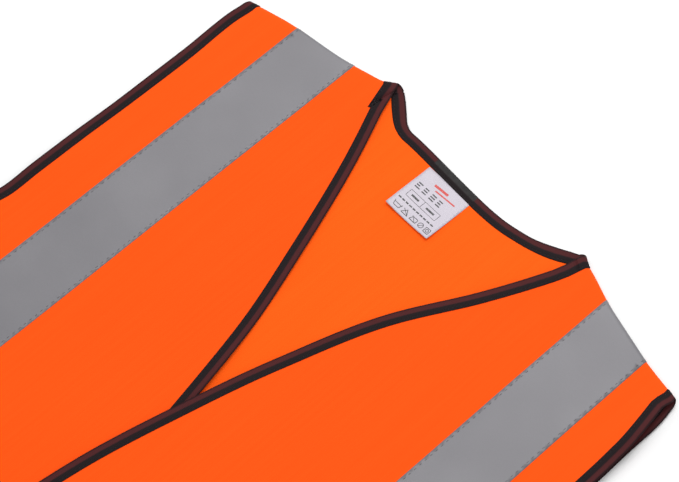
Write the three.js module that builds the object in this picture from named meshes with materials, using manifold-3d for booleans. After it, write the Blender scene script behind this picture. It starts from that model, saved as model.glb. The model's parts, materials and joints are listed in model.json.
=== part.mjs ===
// High visibility vest, lying flat on its back with the front upwards.
// Millimetres, +Z up, +Y towards the neck, +X towards the wearer's left.
import * as THREE from 'three';
import { mergeVertices } from 'three/addons/utils/BufferGeometryUtils.js';
import Module from 'manifold-3d';

const wasm = await Module();
wasm.setup();

// ---------------------------------------------------------------- driving dimensions
const LENGTH = 700; // neck end of the shoulder to the hem
const CHEST_WIDTH = 600; // side fold to side fold
const NECK_HALF_WIDTH = 94; // centre line to the neck end of the shoulder
const SHOULDER_LENGTH = 121; // neck end to arm end, along the fold
const SHOULDER_SLOPE = THREE.MathUtils.degToRad(14.6);
const BACK_NECK_DROP = 15.5;
const UNDERARM_DEPTH = 312; // below the neck end of the shoulder
const ARM_HALF_WIDTH = 217; // centre line to the armhole edge at mid height

const CLOTH = 1; // knitted fabric
const TRIM = 0.6; // tape, binding and hook-and-loop thickness
const LABEL_THICKNESS = 0.4;
const GAP = 0.3; // clearance between pieces that are sewn edge to edge
const BODY_GAP = 4.8; // air between the back layer and the lower front, trims included

const BINDING_WIDTH = 9.5;
const BINDING_RIM = 1; // thickness of the binding's folded rim
const TAPE_WIDTH = 50;
const BRACE_INNER = 124; // centre line to the inner edge of a shoulder tape
const UPPER_BAND_TOP = 440; // below the neck end of the shoulder
const LOWER_BAND_TOP = 580;
const FOLD_OFFSET = 7; // neck end of the shoulder out to the fold line
const FOLD_X = NECK_HALF_WIDTH + FOLD_OFFSET; // line about which each front opens
const SHOULDER_SEAM_BACK = 10; // seam behind the shoulder fold
const SEAM_WIDTH = 7;
const LEAD = 5; // flat cloth before the shoulder fold that stays with the side of the front

const LABEL = { x: -11, width: 40, height: 41 };
const PATCH = { x: -10, width: 25, height: 40, centres: [416, 535, 660] };

const ARMHOLE_FOOT = [38, 9]; // in from the side, up from the underarm
const ARMHOLE_CURVE = [[22, 28], [7, 52], [0, 90]]; // out from the mid-height edge, up from the underarm
const ARMHOLE_TOP = [[-1, -150], [-3, -80]]; // out from the mid-height edge, below the neck end
const NECK_TURN = 3; // straight run of the back neck rim off the shoulder fold
const NECK_CURVE = [[18, 4], [40, 1.5]]; // in from the neck end, above the lowest point
const TIP_INSET = 8; // back cloth short of the armhole, at the shoulder seam
const NECK_INSET = 2; // back cloth short of the neck, at the shoulder seam
const SEAM_NECK_END = 3; // shoulder seam clear of the neck binding
const SEAM_ARM_END = 12; // shoulder seam clear of the armhole binding
const TAPE_EASE = 3; // flat tape before the shoulder fold

const BEND_STEPS = 8; // facets round a folded edge
const NECK_STEPS = 8; // segments along half the back neck
const EDGE_STEPS = 18; // segments along a curved edge

// Outer rim of each front edge, from the neck end to the hem. The left one lies on top.
const EDGE_NECK_HALF_WIDTH = 94; // neck that the points below are drawn for
const LEFT_EDGE = [[78, -38], [48, -93], [27, -137], [5, -204], [-16, -269], [-29, -346], [-36, -400]];
const RIGHT_EDGE = [[-80, -34], [-62, -76], [-42, -132], [-25, -185], [-16, -226], [-6, -290], [8, -350],
  [16, -396]];

// ---------------------------------------------------------------- layer heights
const BACK_Z = TRIM; // underside of the back cloth
const RIGHT_Z = BACK_Z + CLOTH + TRIM + BODY_GAP + TRIM; // underside of the right front's cloth
const LEFT_Z = RIGHT_Z + CLOTH + TRIM + GAP + TRIM; // underside of the left front's cloth

// The edge points spread with the neck's width, while the closed edge stays on its line.
function spreadEdge(sign, points) {
  const closed = points.at(-1)[0];
  const ratio = (sign * NECK_HALF_WIDTH - closed) / (sign * EDGE_NECK_HALF_WIDTH - closed);
  return points.map(([x, y]) => [closed + (x - closed) * ratio, y]);
}

const sides = {
  left: { name: 'left', sign: 1, z: LEFT_Z, edge: spreadEdge(1, LEFT_EDGE) },
  right: { name: 'right', sign: -1, z: RIGHT_Z, edge: spreadEdge(-1, RIGHT_EDGE) },
};
for (const side of Object.values(sides)) {
  side.bendRadius = (side.z + CLOTH + TRIM) / 2; // outside of the binding, round a fold
  side.neutralRadius = side.bendRadius - TRIM - CLOTH / 2;
  side.foldX = CHEST_WIDTH / 2 - side.bendRadius; // where the side starts to turn under
}

// ---------------------------------------------------------------- materials
const look = (color, roughness, metalness = 0) => () =>
  new THREE.MeshStandardMaterial({ color, roughness, metalness });
const orangeCloth = look('#ff5f1c', 0.8);
const reflectiveTape = look('#929094', 0.45, 0.2);
const darkBinding = look('#2a1a1c', 0.7);
const orangeThread = look('#f0601e', 0.85);
const labelCloth = look('#eceaf2', 0.6);
const hookTape = look('#c9561f', 0.9);

const vest = new THREE.Group();

function addPiece(name, geometry, material) {
  const mesh = new THREE.Mesh(geometry, material());
  mesh.name = name;
  vest.add(mesh);
}

// ---------------------------------------------------------------- geometry helpers
function solidFrom(positions, indices) {
  const geometry = new THREE.BufferGeometry();
  geometry.setAttribute('position', new THREE.Float32BufferAttribute(positions, 3));
  let volume = 0;
  const corner = indices.map((i) => new THREE.Vector3().fromArray(positions, 3 * i));
  for (let i = 0; i < corner.length; i += 3) {
    volume += corner[i].dot(new THREE.Vector3().crossVectors(corner[i + 1], corner[i + 2]));
  }
  geometry.setIndex(volume < 0 ? [...indices].reverse() : indices);
  return geometry;
}

// End faces of a closed outline: the near one turned back, the far one forwards.
function caps(outline, far) {
  const sign = THREE.ShapeUtils.isClockWise(outline) ? 1 : -1;
  const faces = THREE.ShapeUtils.triangulateShape(outline, []);
  return faces.flatMap((face) => {
    const near = THREE.ShapeUtils.area(face.map((i) => outline[i])) * sign < 0 ? face : [...face].reverse();
    return [...near].reverse().concat(near.map((i) => i + far));
  });
}

// A section of [out, up] points carried along stations of { point, out, up }.
function sweep(stations, section, closed = false) {
  const positions = [];
  for (const { point, out, up } of stations) {
    for (const [u, w] of section) {
      positions.push(...point.clone().addScaledVector(out, u).addScaledVector(up, w).toArray());
    }
  }
  const size = section.length;
  const indices = [];
  const spans = closed ? stations.length : stations.length - 1;
  for (let i = 0; i < spans; i += 1) {
    const a = i * size;
    const b = ((i + 1) % stations.length) * size;
    for (let j = 0; j < size; j += 1) {
      const k = (j + 1) % size;
      indices.push(a + j, a + k, b + k, a + j, b + k, b + j);
    }
  }
  if (!closed) {
    const last = (stations.length - 1) * size;
    const outline = section.map(([u, w]) => new THREE.Vector2(u, w));
    indices.push(...caps(outline, last));
  }
  return solidFrom(positions, indices);
}

function asManifold(geometry) {
  const bare = geometry.clone();
  bare.deleteAttribute('normal');
  bare.deleteAttribute('uv');
  const merged = mergeVertices(bare, 1e-4);
  return new wasm.Manifold(new wasm.Mesh({
    numProp: 3,
    vertProperties: new Float32Array(merged.attributes.position.array),
    triVerts: new Uint32Array(merged.index.array),
  }));
}

function joined(...geometries) {
  const solid = geometries.map(asManifold).reduce((sum, next) => sum.add(next));
  const { vertProperties, triVerts } = solid.getMesh();
  const geometry = new THREE.BufferGeometry();
  geometry.setAttribute('position', new THREE.Float32BufferAttribute(vertProperties, 3));
  geometry.setIndex([...triVerts]);
  return geometry;
}

function plate(outline, z, thickness) {
  const shape = new THREE.Shape(outline.map(([x, y]) => new THREE.Vector2(x, y)));
  return new THREE.ExtrudeGeometry(shape, { depth: thickness, bevelEnabled: false }).translate(0, 0, z);
}

function box(x0, x1, y0, y1, z, thickness) {
  return plate([[x0, y0], [x1, y0], [x1, y1], [x0, y1]], z, thickness);
}

// ---------------------------------------------------------------- outlines
const along = new THREE.Vector2(Math.cos(SHOULDER_SLOPE), -Math.sin(SHOULDER_SLOPE));
const beyond = new THREE.Vector2(Math.sin(SHOULDER_SLOPE), Math.cos(SHOULDER_SLOPE));

// A point t along the left shoulder from the neck and h beyond it, mirrored to its side.
function shoulderPoint(side, t, h) {
  const x = NECK_HALF_WIDTH + along.x * t + beyond.x * h;
  return [side.sign * x, along.y * t + beyond.y * h];
}

// The y of the line h beyond the shoulder at the given distance from the centre line.
function shoulderY(x, h) {
  return -(x - NECK_HALF_WIDTH) * Math.tan(SHOULDER_SLOPE) + h / Math.cos(SHOULDER_SLOPE);
}

function smooth(points, steps) {
  const curve = new THREE.SplineCurve(points.map(([x, y]) => new THREE.Vector2(x, y)));
  return curve.getPoints(steps).map(({ x, y }) => [x, y]);
}

// Front or back armhole rim, from the side fold up to the shoulder fold.
function armholeRim(side) {
  const points = [
    [side.foldX, -UNDERARM_DEPTH],
    [CHEST_WIDTH / 2 - ARMHOLE_FOOT[0], -UNDERARM_DEPTH + ARMHOLE_FOOT[1]],
    ...ARMHOLE_CURVE.map(([out, up]) => [ARM_HALF_WIDTH + out, -UNDERARM_DEPTH + up]),
    ...ARMHOLE_TOP.map(([out, y]) => [ARM_HALF_WIDTH + out, y]),
  ].map(([x, y]) => [side.sign * x, y]);
  points.push(shoulderPoint(side, SHOULDER_LENGTH, -side.bendRadius));
  return smooth(points, EDGE_STEPS);
}

// Front edge rim, from the shoulder fold down to the hem.
function frontRim(side) {
  const last = side.edge.at(-1);
  const start = shoulderPoint(side, 0, -side.bendRadius - LEAD - GAP);
  const curved = smooth([start, ...side.edge], EDGE_STEPS);
  return [...curved, [last[0], -UPPER_BAND_TOP], [last[0], -LENGTH]];
}

// Back neck rim, from the left shoulder fold to the right one.
function neckRim() {
  const halfRim = (side) => {
    const start = shoulderPoint(side, 0, -side.bendRadius);
    const corner = shoulderPoint(side, 0, -side.bendRadius - NECK_TURN);
    const curve = NECK_CURVE.map(([into, up]) => (
      [side.sign * (NECK_HALF_WIDTH - into), -BACK_NECK_DROP + up]));
    return [start, corner, ...smooth([corner, ...curve, [0, -BACK_NECK_DROP]], NECK_STEPS).slice(1)];
  };
  return [...halfRim(sides.left), ...halfRim(sides.right).reverse().slice(1)];
}

// Outward mitre vectors of an open path, with the free edge on the given side of it.
function outwards(path, hand) {
  const normal = (a, b) => new THREE.Vector2(b[0] - a[0], b[1] - a[1]).normalize()
    .rotateAround(new THREE.Vector2(), hand * Math.PI / 2);
  return path.map((point, i) => {
    const before = normal(path[Math.max(i - 1, 0)], path[Math.max(i, 1)]);
    const after = normal(path[Math.min(i, path.length - 2)], path[Math.min(i + 1, path.length - 1)]);
    const sum = before.clone().add(after).normalize();
    return sum.divideScalar(sum.dot(before));
  });
}

function inset(path, hand, distance) {
  return outwards(path, hand).map((out, i) => [path[i][0] - out.x * distance, path[i][1] - out.y * distance]);
}

// ---------------------------------------------------------------- stations
// Flat stretch of a path on the front (facing up) or back (facing down) layer.
function flatStations(path, hand, z, up) {
  return outwards(path, hand).map((out, i) => ({
    point: new THREE.Vector3(path[i][0], path[i][1], z + CLOTH / 2),
    out: new THREE.Vector3(out.x, out.y, 0),
    up: new THREE.Vector3(0, 0, up),
  }));
}

// Round a fold, from the front layer to the back one. `toward` points out of the fold.
function bendStations(side, x, y, toward, out) {
  const stations = [];
  for (let i = 0; i <= BEND_STEPS; i += 1) {
    const angle = Math.PI / 2 - (Math.PI * i) / BEND_STEPS;
    const up = new THREE.Vector3(toward[0], toward[1], 0).multiplyScalar(Math.cos(angle));
    up.z = Math.sin(angle);
    const point = new THREE.Vector3(x, y, side.bendRadius).addScaledVector(up, side.neutralRadius);
    stations.push({ point, out: new THREE.Vector3(out[0], out[1], 0), up });
  }
  return stations;
}

function shoulderBend(side, t, facing) {
  const toward = [side.sign * beyond.x, beyond.y];
  const out = [side.sign * along.x * facing, along.y * facing];
  return bendStations(side, ...shoulderPoint(side, t, -side.bendRadius), toward, out);
}

function sideBend(side, y, facing) {
  return bendStations(side, side.sign * side.foldX, y, [side.sign, 0], [0, facing]);
}

// Folded binding: two strips joined by a rim, closed round the edge of the cloth.
const half = CLOTH / 2;
const bindingSection = [
  [0, half + TRIM], [-BINDING_WIDTH, half + TRIM], [-BINDING_WIDTH, half], [-BINDING_RIM, half],
  [-BINDING_RIM, -half], [-BINDING_WIDTH, -half], [-BINDING_WIDTH, -half - TRIM], [0, -half - TRIM],
];
const clothSection = (from, to) => [[-from, half], [-to, half], [-to, -half], [-from, -half]];
const CLOTH_INSET = BINDING_RIM + GAP; // cloth edge inside the binding

// ---------------------------------------------------------------- panels
function backPanel() {
  const layers = [sides.left, sides.right];
  const shoulderEdge = (side) => -side.bendRadius - SHOULDER_SEAM_BACK - GAP;
  const [leftArm, rightArm] = layers.map((side) => inset(armholeRim(side), -side.sign, CLOTH_INSET)
    .filter(([x, y]) => y < shoulderY(Math.abs(x), shoulderEdge(side))));
  const neck = inset(neckRim(), -1, CLOTH_INSET)
    .filter(([x, y]) => y < shoulderY(Math.abs(x), shoulderEdge(x > 0 ? sides.left : sides.right)));
  const corner = (side, x) => [side.sign * x, shoulderY(x, shoulderEdge(side))];
  const hem = -LENGTH + CLOTH_INSET;
  const armEnd = ARM_HALF_WIDTH - TIP_INSET - CLOTH_INSET;
  return plate([
    [sides.left.foldX - GAP, hem],
    [sides.left.foldX - GAP, leftArm[0][1]],
    ...leftArm.filter(([x]) => x < sides.left.foldX - GAP),
    corner(sides.left, armEnd),
    corner(sides.left, NECK_HALF_WIDTH + NECK_INSET),
    ...neck,
    corner(sides.right, NECK_HALF_WIDTH + NECK_INSET),
    corner(sides.right, armEnd),
    ...rightArm.filter(([x]) => x > -sides.right.foldX + GAP).reverse(),
    [-sides.right.foldX + GAP, rightArm[0][1]],
    [-sides.right.foldX + GAP, hem],
  ], BACK_Z, CLOTH);
}

// A station moved along the cloth, away from the fold that it belongs to.
function moved(side, station, distance) {
  const back = new THREE.Vector3(side.sign * beyond.x, beyond.y, 0).multiplyScalar(-distance);
  return { ...station, point: station.point.clone().add(back) };
}

// The side of a front: a flat plate joined to the stretch that turns over the shoulder.
function frontSidePanel(side) {
  const top = (x) => [x, shoulderY(x, -side.bendRadius - GAP)];
  const arm = inset(armholeRim(side), -side.sign, CLOTH_INSET)
    .map(([x, y]) => [Math.abs(x), y])
    .filter(([x, y]) => x < side.foldX - GAP && y < top(x)[1]);
  const hem = -LENGTH + CLOTH_INSET;
  const flat = plate([
    [FOLD_X + GAP / 2, hem],
    [side.foldX - GAP, hem],
    [side.foldX - GAP, -UNDERARM_DEPTH - CLOTH_INSET],
    ...arm,
    top(arm.at(-1)[0]),
    top(FOLD_X + GAP / 2),
  ].map(([x, y]) => [side.sign * x, y]), side.z, CLOTH);
  const ends = BINDING_WIDTH + GAP;
  const turned = shoulderBend(side, SHOULDER_LENGTH, 1);
  const stations = [moved(side, turned[0], LEAD), ...turned, moved(side, turned.at(-1), SHOULDER_SEAM_BACK)];
  return joined(flat, sweep(stations, clothSection(ends, SHOULDER_LENGTH - ends)));
}

// The part of a front that opens, from the fold line to inside the edge binding.
function frontFlapPanel(side) {
  const rim = inset(frontRim(side), -side.sign, CLOTH_INSET).map(([x, y]) => [x * side.sign, y]);
  const top = (x) => [x, shoulderY(x, -side.bendRadius - LEAD - GAP)];
  const below = rim.filter(([x, y]) => y > -LENGTH + CLOTH_INSET && y < top(x)[1]);
  const hem = -LENGTH + CLOTH_INSET;
  const edge = FOLD_X - GAP / 2;
  return plate([
    [edge, hem],
    top(edge),
    top(below[0][0]),
    ...below,
    [rim.at(-1)[0], hem],
  ].map(([x, y]) => [side.sign * x, y]), side.z, CLOTH);
}

// ---------------------------------------------------------------- bindings
function neckBinding() {
  const path = neckRim();
  const left = shoulderBend(sides.left, 0, -1);
  const right = shoulderBend(sides.right, 0, -1).reverse();
  const back = flatStations(path, -1, BACK_Z, -1).slice(1, -1);
  return sweep([moved(sides.left, left[0], LEAD), ...left, ...back, ...right,
    moved(sides.right, right.at(-1), LEAD)], bindingSection);
}

function armholeBinding(side) {
  const path = armholeRim(side);
  const front = flatStations(path, side.sign * -1, side.z, 1).slice(1, -1);
  const back = flatStations(path, side.sign * -1, BACK_Z, -1).slice(1, -1).reverse();
  return sweep([...front, ...shoulderBend(side, SHOULDER_LENGTH, 1), ...back,
    ...sideBend(side, -UNDERARM_DEPTH, 1).reverse()], bindingSection, true);
}

function hemBinding() {
  const level = (x, z, up) => ({
    point: new THREE.Vector3(x, -LENGTH, z + CLOTH / 2),
    out: new THREE.Vector3(0, -1, 0),
    up: new THREE.Vector3(0, 0, up),
  });
  return sweep([
    level(FOLD_X + GAP / 2, LEFT_Z, 1),
    ...sideBend(sides.left, -LENGTH, -1),
    ...sideBend(sides.right, -LENGTH, -1).reverse(),
    level(-FOLD_X - GAP / 2, RIGHT_Z, 1),
  ], bindingSection);
}

function frontEdgeBinding(side) {
  const path = frontRim(side);
  path[path.length - 1][1] = -LENGTH + BINDING_WIDTH + GAP;
  return sweep(flatStations(path, -side.sign, side.z, 1), bindingSection);
}

function flapHemBinding(side) {
  const inner = side.sign * (FOLD_X - GAP / 2);
  const path = [[inner, -LENGTH], [side.edge.at(-1)[0], -LENGTH]];
  return sweep(flatStations(path, side.sign, side.z, 1), bindingSection);
}

// ---------------------------------------------------------------- seams
function sideSeam(side) {
  const bend = sideBend(side, -LENGTH + BINDING_WIDTH + GAP, -1);
  const length = LENGTH - UNDERARM_DEPTH - 2 * (BINDING_WIDTH + GAP);
  return sweep(bend, clothSection(0, length));
}

function shoulderSeam(side) {
  const y = (x, h) => shoulderY(x, -side.bendRadius - SHOULDER_SEAM_BACK - GAP / 2 + h);
  const inner = NECK_HALF_WIDTH + BINDING_WIDTH + SEAM_NECK_END;
  const outer = ARM_HALF_WIDTH - BINDING_WIDTH - SEAM_ARM_END;
  const across = SEAM_WIDTH / 2;
  return plate([
    [inner, y(inner, -across)], [outer, y(outer, -across)], [outer, y(outer, across)], [inner, y(inner, across)],
  ].map(([x, v]) => [side.sign * x, v]), BACK_Z + CLOTH, TRIM);
}

// ---------------------------------------------------------------- reflective tapes
// A strip between two distances from the centre line, whose outline is given as
// [height, y] or, where it follows the shoulder, as [height, null, distance beyond it].
function strip(side, outline) {
  const edges = [BRACE_INNER, BRACE_INNER + TAPE_WIDTH];
  const stations = edges.map((x) => outline.map(([z, y, h]) => [side.sign * x, y ?? shoulderY(x, h), z]));
  const positions = stations.flat(2);
  const size = outline.length;
  const indices = [];
  for (let j = 0; j < size; j += 1) {
    const k = (j + 1) % size;
    indices.push(j, k, k + size, j, k + size, j + size);
  }
  indices.push(...caps(stations[0].map(([, y, z]) => new THREE.Vector2(y, z)), size));
  return solidFrom(positions, indices);
}

// The front tape runs up from the upper band, over the shoulder and on to the seam.
function braceFrontTape(side) {
  const arc = (radius) => Array.from({ length: BEND_STEPS + 1 }, (_, i) => {
    const angle = Math.PI / 2 - (Math.PI * i) / BEND_STEPS;
    const beyondCentre = radius * Math.cos(angle);
    return [side.bendRadius + radius * Math.sin(angle), null, -side.bendRadius + beyondCentre];
  });
  const foot = -UPPER_BAND_TOP + GAP;
  const back = -side.bendRadius - SHOULDER_SEAM_BACK;
  const outer = arc(side.bendRadius);
  const inner = arc(side.bendRadius - TRIM + GAP).reverse();
  const ease = -side.bendRadius - TAPE_EASE;
  return strip(side, [
    [side.z + CLOTH + TRIM, foot], [side.z + CLOTH + TRIM, null, ease], ...outer,
    [0, null, ease], [0, null, back], [TRIM, null, back], [TRIM, null, ease], ...inner,
    [side.z + CLOTH, null, ease], [side.z + CLOTH, foot],
  ]);
}

function braceBackTape(side) {
  const top = -side.bendRadius - SHOULDER_SEAM_BACK - GAP;
  const foot = -UPPER_BAND_TOP + GAP;
  return strip(side, [[0, foot], [0, null, top], [TRIM, null, top], [TRIM, foot]]);
}

function rimAt(side, y) {
  const rim = frontRim(side);
  const next = rim.findIndex((point) => point[1] <= y);
  const [a, b] = [rim[next - 1], rim[next]];
  return a[0] + ((b[0] - a[0]) * (y - a[1])) / (b[1] - a[1]);
}

function frontBand(side, top, onFlap) {
  const edge = (rimAt(side, -top) + side.sign * (BINDING_WIDTH + GAP));
  const [x0, x1] = onFlap
    ? [edge, side.sign * (FOLD_X - GAP / 2)]
    : [side.sign * (FOLD_X + GAP / 2), side.sign * (side.foldX - GAP)];
  return box(Math.min(x0, x1), Math.max(x0, x1), -top - TAPE_WIDTH, -top, side.z + CLOTH, TRIM);
}

function backBand(top) {
  return box(-sides.right.foldX + GAP, sides.left.foldX - GAP, -top - TAPE_WIDTH, -top, 0, TRIM);
}

// ---------------------------------------------------------------- assembly
const bands = { upper: UPPER_BAND_TOP, lower: LOWER_BAND_TOP };

addPiece('back_panel', backPanel(), orangeCloth);
addPiece('neck_binding', neckBinding(), darkBinding);
addPiece('hem_binding', hemBinding(), darkBinding);
for (const [level, top] of Object.entries(bands)) {
  addPiece(`back_${level}_band`, backBand(top), reflectiveTape);
}

for (const side of Object.values(sides)) {
  const { name } = side;
  addPiece(`${name}_front_side_panel`, frontSidePanel(side), orangeCloth);
  addPiece(`${name}_front_flap_panel`, frontFlapPanel(side), orangeCloth);
  addPiece(`${name}_side_seam`, sideSeam(side), orangeThread);
  addPiece(`${name}_shoulder_seam`, shoulderSeam(side), orangeThread);
  addPiece(`${name}_armhole_binding`, armholeBinding(side), darkBinding);
  addPiece(`${name}_front_edge_binding`, frontEdgeBinding(side), darkBinding);
  addPiece(`${name}_flap_hem_binding`, flapHemBinding(side), darkBinding);
  addPiece(`${name}_front_brace_tape`, braceFrontTape(side), reflectiveTape);
  addPiece(`${name}_back_brace_tape`, braceBackTape(side), reflectiveTape);
  for (const [level, top] of Object.entries(bands)) {
    addPiece(`${name}_side_${level}_band`, frontBand(side, top, false), reflectiveTape);
    addPiece(`${name}_flap_${level}_band`, frontBand(side, top, true), reflectiveTape);
  }
}

['top', 'middle', 'bottom'].forEach((place, i) => {
  const y = -PATCH.centres[i];
  const [x0, x1] = [PATCH.x - PATCH.width / 2, PATCH.x + PATCH.width / 2];
  const [y0, y1] = [y - PATCH.height / 2, y + PATCH.height / 2];
  addPiece(`hook_patch_${place}`, box(x0, x1, y0, y1, LEFT_Z - TRIM, TRIM), hookTape);
  addPiece(`loop_patch_${place}`, box(x0, x1, y0, y1, RIGHT_Z + CLOTH, TRIM), hookTape);
});

const labelTop = -BACK_NECK_DROP - BINDING_WIDTH - GAP;
addPiece('care_label', box(LABEL.x - LABEL.width / 2, LABEL.x + LABEL.width / 2,
  labelTop - LABEL.height, labelTop, BACK_Z + CLOTH + GAP, LABEL_THICKNESS), labelCloth);

// The origin is the middle of the underside.
const bounds = new THREE.Box3().setFromObject(vest);
vest.position.set(0, -(bounds.min.y + bounds.max.y) / 2, -bounds.min.z);

export default vest;
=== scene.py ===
"""High visibility vest lying flat: knitted cloth, reflective tapes, edge bindings, stitching,
hook-and-loop patches and a care label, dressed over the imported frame. Metres, +Z up, +Y to the neck."""

import json
import math

import bpy
import numpy as np
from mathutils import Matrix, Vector
from mathutils.geometry import delaunay_2d_cdt


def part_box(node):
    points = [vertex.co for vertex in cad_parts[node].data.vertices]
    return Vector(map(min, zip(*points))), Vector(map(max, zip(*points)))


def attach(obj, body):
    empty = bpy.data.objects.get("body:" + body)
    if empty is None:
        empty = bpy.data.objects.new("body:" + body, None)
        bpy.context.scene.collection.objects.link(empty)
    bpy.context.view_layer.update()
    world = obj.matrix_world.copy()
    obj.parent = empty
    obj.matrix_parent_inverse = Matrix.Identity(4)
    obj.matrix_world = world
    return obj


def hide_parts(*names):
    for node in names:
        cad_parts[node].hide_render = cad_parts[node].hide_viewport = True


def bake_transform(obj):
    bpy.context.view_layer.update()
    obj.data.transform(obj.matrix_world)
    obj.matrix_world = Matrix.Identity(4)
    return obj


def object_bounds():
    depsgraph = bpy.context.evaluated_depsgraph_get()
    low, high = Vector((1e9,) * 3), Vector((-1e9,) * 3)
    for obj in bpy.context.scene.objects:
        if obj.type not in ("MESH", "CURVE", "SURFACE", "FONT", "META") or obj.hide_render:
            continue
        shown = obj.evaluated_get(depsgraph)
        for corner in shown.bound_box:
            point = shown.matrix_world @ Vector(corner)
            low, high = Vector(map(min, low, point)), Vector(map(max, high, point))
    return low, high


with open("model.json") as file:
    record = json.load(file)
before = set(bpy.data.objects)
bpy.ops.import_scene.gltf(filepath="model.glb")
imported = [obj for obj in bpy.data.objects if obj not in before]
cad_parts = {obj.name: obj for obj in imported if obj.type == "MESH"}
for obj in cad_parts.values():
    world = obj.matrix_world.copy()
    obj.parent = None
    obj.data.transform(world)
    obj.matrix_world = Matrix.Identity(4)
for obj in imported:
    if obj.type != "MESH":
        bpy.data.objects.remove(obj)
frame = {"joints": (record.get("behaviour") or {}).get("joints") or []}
cad_low, cad_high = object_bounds()
scene = bpy.context.scene
scene.view_settings.view_transform = "Standard"

MM = 0.001
NECK_Y = cad_high[1]  # the neck ends of the shoulders
HEM_Y = cad_low[1]
SIDE_X = cad_high[0]  # outermost line of each side

# Half widths, and depths below the neck ends of the shoulders. The neck, the shoulders and the tapes
# are the frame's; the two front edges, in millimetres, follow the cloth's own curve more closely.
NECK_HALF = 94 * MM
SLOPE = math.radians(14.6)
UNDERARM = 312 * MM
TAPE = 50 * MM
BRACE_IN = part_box("left_front_brace_tape")[0][0]
BINDING = 8.9 * MM
SEAM_BACK = 10 * MM  # the shoulder seam lies this far behind the fold
LEAD = 5 * MM  # front cloth before the fold that the neck binding still covers
LEFT_EDGE = [(84, -21), (62, -69), (30, -130), (7, -198), (-10, -265), (-26, -335), (-36, -405)]
RIGHT_EDGE = [(87, -13), (64, -68), (41, -134), (21, -200), (4, -284), (-16, -396)]

# Real thicknesses, and how each layer lies.
CLOTH = 0.5 * MM
TAPE_THICK = 0.2 * MM
BACK_Z = 1.1 * MM
RIGHT_LIE = 4.9 * MM  # middle of the right front's cloth
LEFT_LIE = 5.7 * MM  # the left front's, away from the overlap
LAP_LIE = 7.5 * MM  # the left front's, where it crosses the right one
FOLD_DEPTH = 3.2 * MM  # how far a folded edge reaches out past its flat cloth
SIDE_TUCK = 0.6 * MM  # how far the cloth of a turned side stays inside the frame's rim

along = np.array([math.cos(SLOPE), -math.sin(SLOPE)])
beyond = np.array([math.sin(SLOPE), math.cos(SLOPE)])


# ------------------------------------------------------------------ small helpers
def smoothstep(x, low, high):
    t = np.clip((x - low) / (high - low), 0, 1)
    return t * t * (3 - 2 * t)


def spline(points, step):
    """Points along a smooth curve through the given ones, about a step apart."""
    p = np.array(points, float)
    ends = np.vstack([2 * p[0] - p[1], p, 2 * p[-1] - p[-2]])
    out = []
    for i in range(len(p) - 1):
        a, b, c, d = ends[i : i + 4]
        n = max(2, int(np.linalg.norm(c - b) / step))
        for t in np.arange(n) / n:
            out.append(0.5 * (2 * b + (c - a) * t + (2 * a - 5 * b + 4 * c - d) * t**2
                              + (3 * b - a - 3 * c + d) * t**3))
    out.append(p[-1])
    return np.array(out)


def resample(path, step):
    path = np.array(path, float)
    d = np.concatenate([[0], np.cumsum(np.linalg.norm(np.diff(path, axis=0), axis=1))])
    n = max(1, round(d[-1] / step))
    s = np.linspace(0, d[-1], n + 1)
    return np.stack([np.interp(s, d, path[:, k]) for k in range(path.shape[1])], axis=1)


def mitre(path, hand):
    """Outward vectors of a path, on its left (hand 1) or right (hand -1)."""
    d = np.diff(path, axis=0)
    d /= np.linalg.norm(d, axis=1)[:, None]
    normal = np.stack([-d[:, 1], d[:, 0]], axis=1) * hand
    before, after = np.vstack([normal[:1], normal]), np.vstack([normal, normal[-1:]])
    out = before + after
    out /= np.linalg.norm(out, axis=1)[:, None]
    return out / np.maximum((out * before).sum(axis=1), 0.5)[:, None]


def new_mesh(name, vertices, faces, uvs=None, materials=(), face_material=None, smooth=True):
    mesh = bpy.data.meshes.new(name)
    mesh.from_pydata([tuple(map(float, v)) for v in vertices], [], [tuple(map(int, f)) for f in faces])
    if uvs is not None:
        layer = mesh.uv_layers.new(name="Cloth")
        loops = np.zeros(len(mesh.loops), int)
        mesh.loops.foreach_get("vertex_index", loops)
        layer.data.foreach_set("uv", np.asarray(uvs, float)[loops].ravel())
    for material in materials:
        mesh.materials.append(material)
    if face_material is not None:
        mesh.polygons.foreach_set("material_index", np.asarray(face_material, int))
    mesh.polygons.foreach_set("use_smooth", [smooth] * len(mesh.polygons))
    mesh.update()
    obj = bpy.data.objects.new(name, mesh)
    scene.collection.objects.link(obj)
    return obj


def outward(obj):
    """Turns a closed mesh so that its faces point out."""
    mesh = obj.data
    mesh.calc_loop_triangles()
    v = np.array([p.co for p in mesh.vertices])
    t = np.array([p.vertices for p in mesh.loop_triangles])
    if (v[t[:, 0]] * np.cross(v[t[:, 1]], v[t[:, 2]])).sum() < 0:
        mesh.flip_normals()
    return obj


# ------------------------------------------------------------------ the surfaces of the cloth
class Side:
    """One front: its sign in X, the edge that closes it, and how its cloth lies.

    Neck and tip are where the bindings cross the shoulder fold, counted from the neck along it.
    Arm is the armhole's half width near the shoulder, flare how much wider it is at the tip, pull
    how far the top layer's edge draws in there and rise how far it stands up.
    """

    def __init__(self, name, sign, edge, neck, tip, arm, flare, pull, rise):
        self.name, self.sign, self.edge = name, sign, np.array(edge) * MM
        self.neck, self.tip = neck * MM, tip * MM
        self.arm, self.flare, self.pull = arm * MM, flare * MM, pull * MM
        self.rise = rise * MM
        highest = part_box("hem_binding")[1][2] if sign > 0 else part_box("right_armhole_binding")[1][2]
        self.trim_radius = highest / 2
        self.fold_x = SIDE_X - self.trim_radius
        hinge = next(j for j in frame["joints"] if j["name"] == f"{name}_front_open")
        self.fold_joint = abs(hinge["pos_m"][0])


def side_point(t, h):
    """A point t along a shoulder from the neck and h beyond it, on the side's own axes."""
    return np.array([NECK_HALF, 0]) + np.multiply.outer(t, along) + np.multiply.outer(h, beyond)


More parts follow.
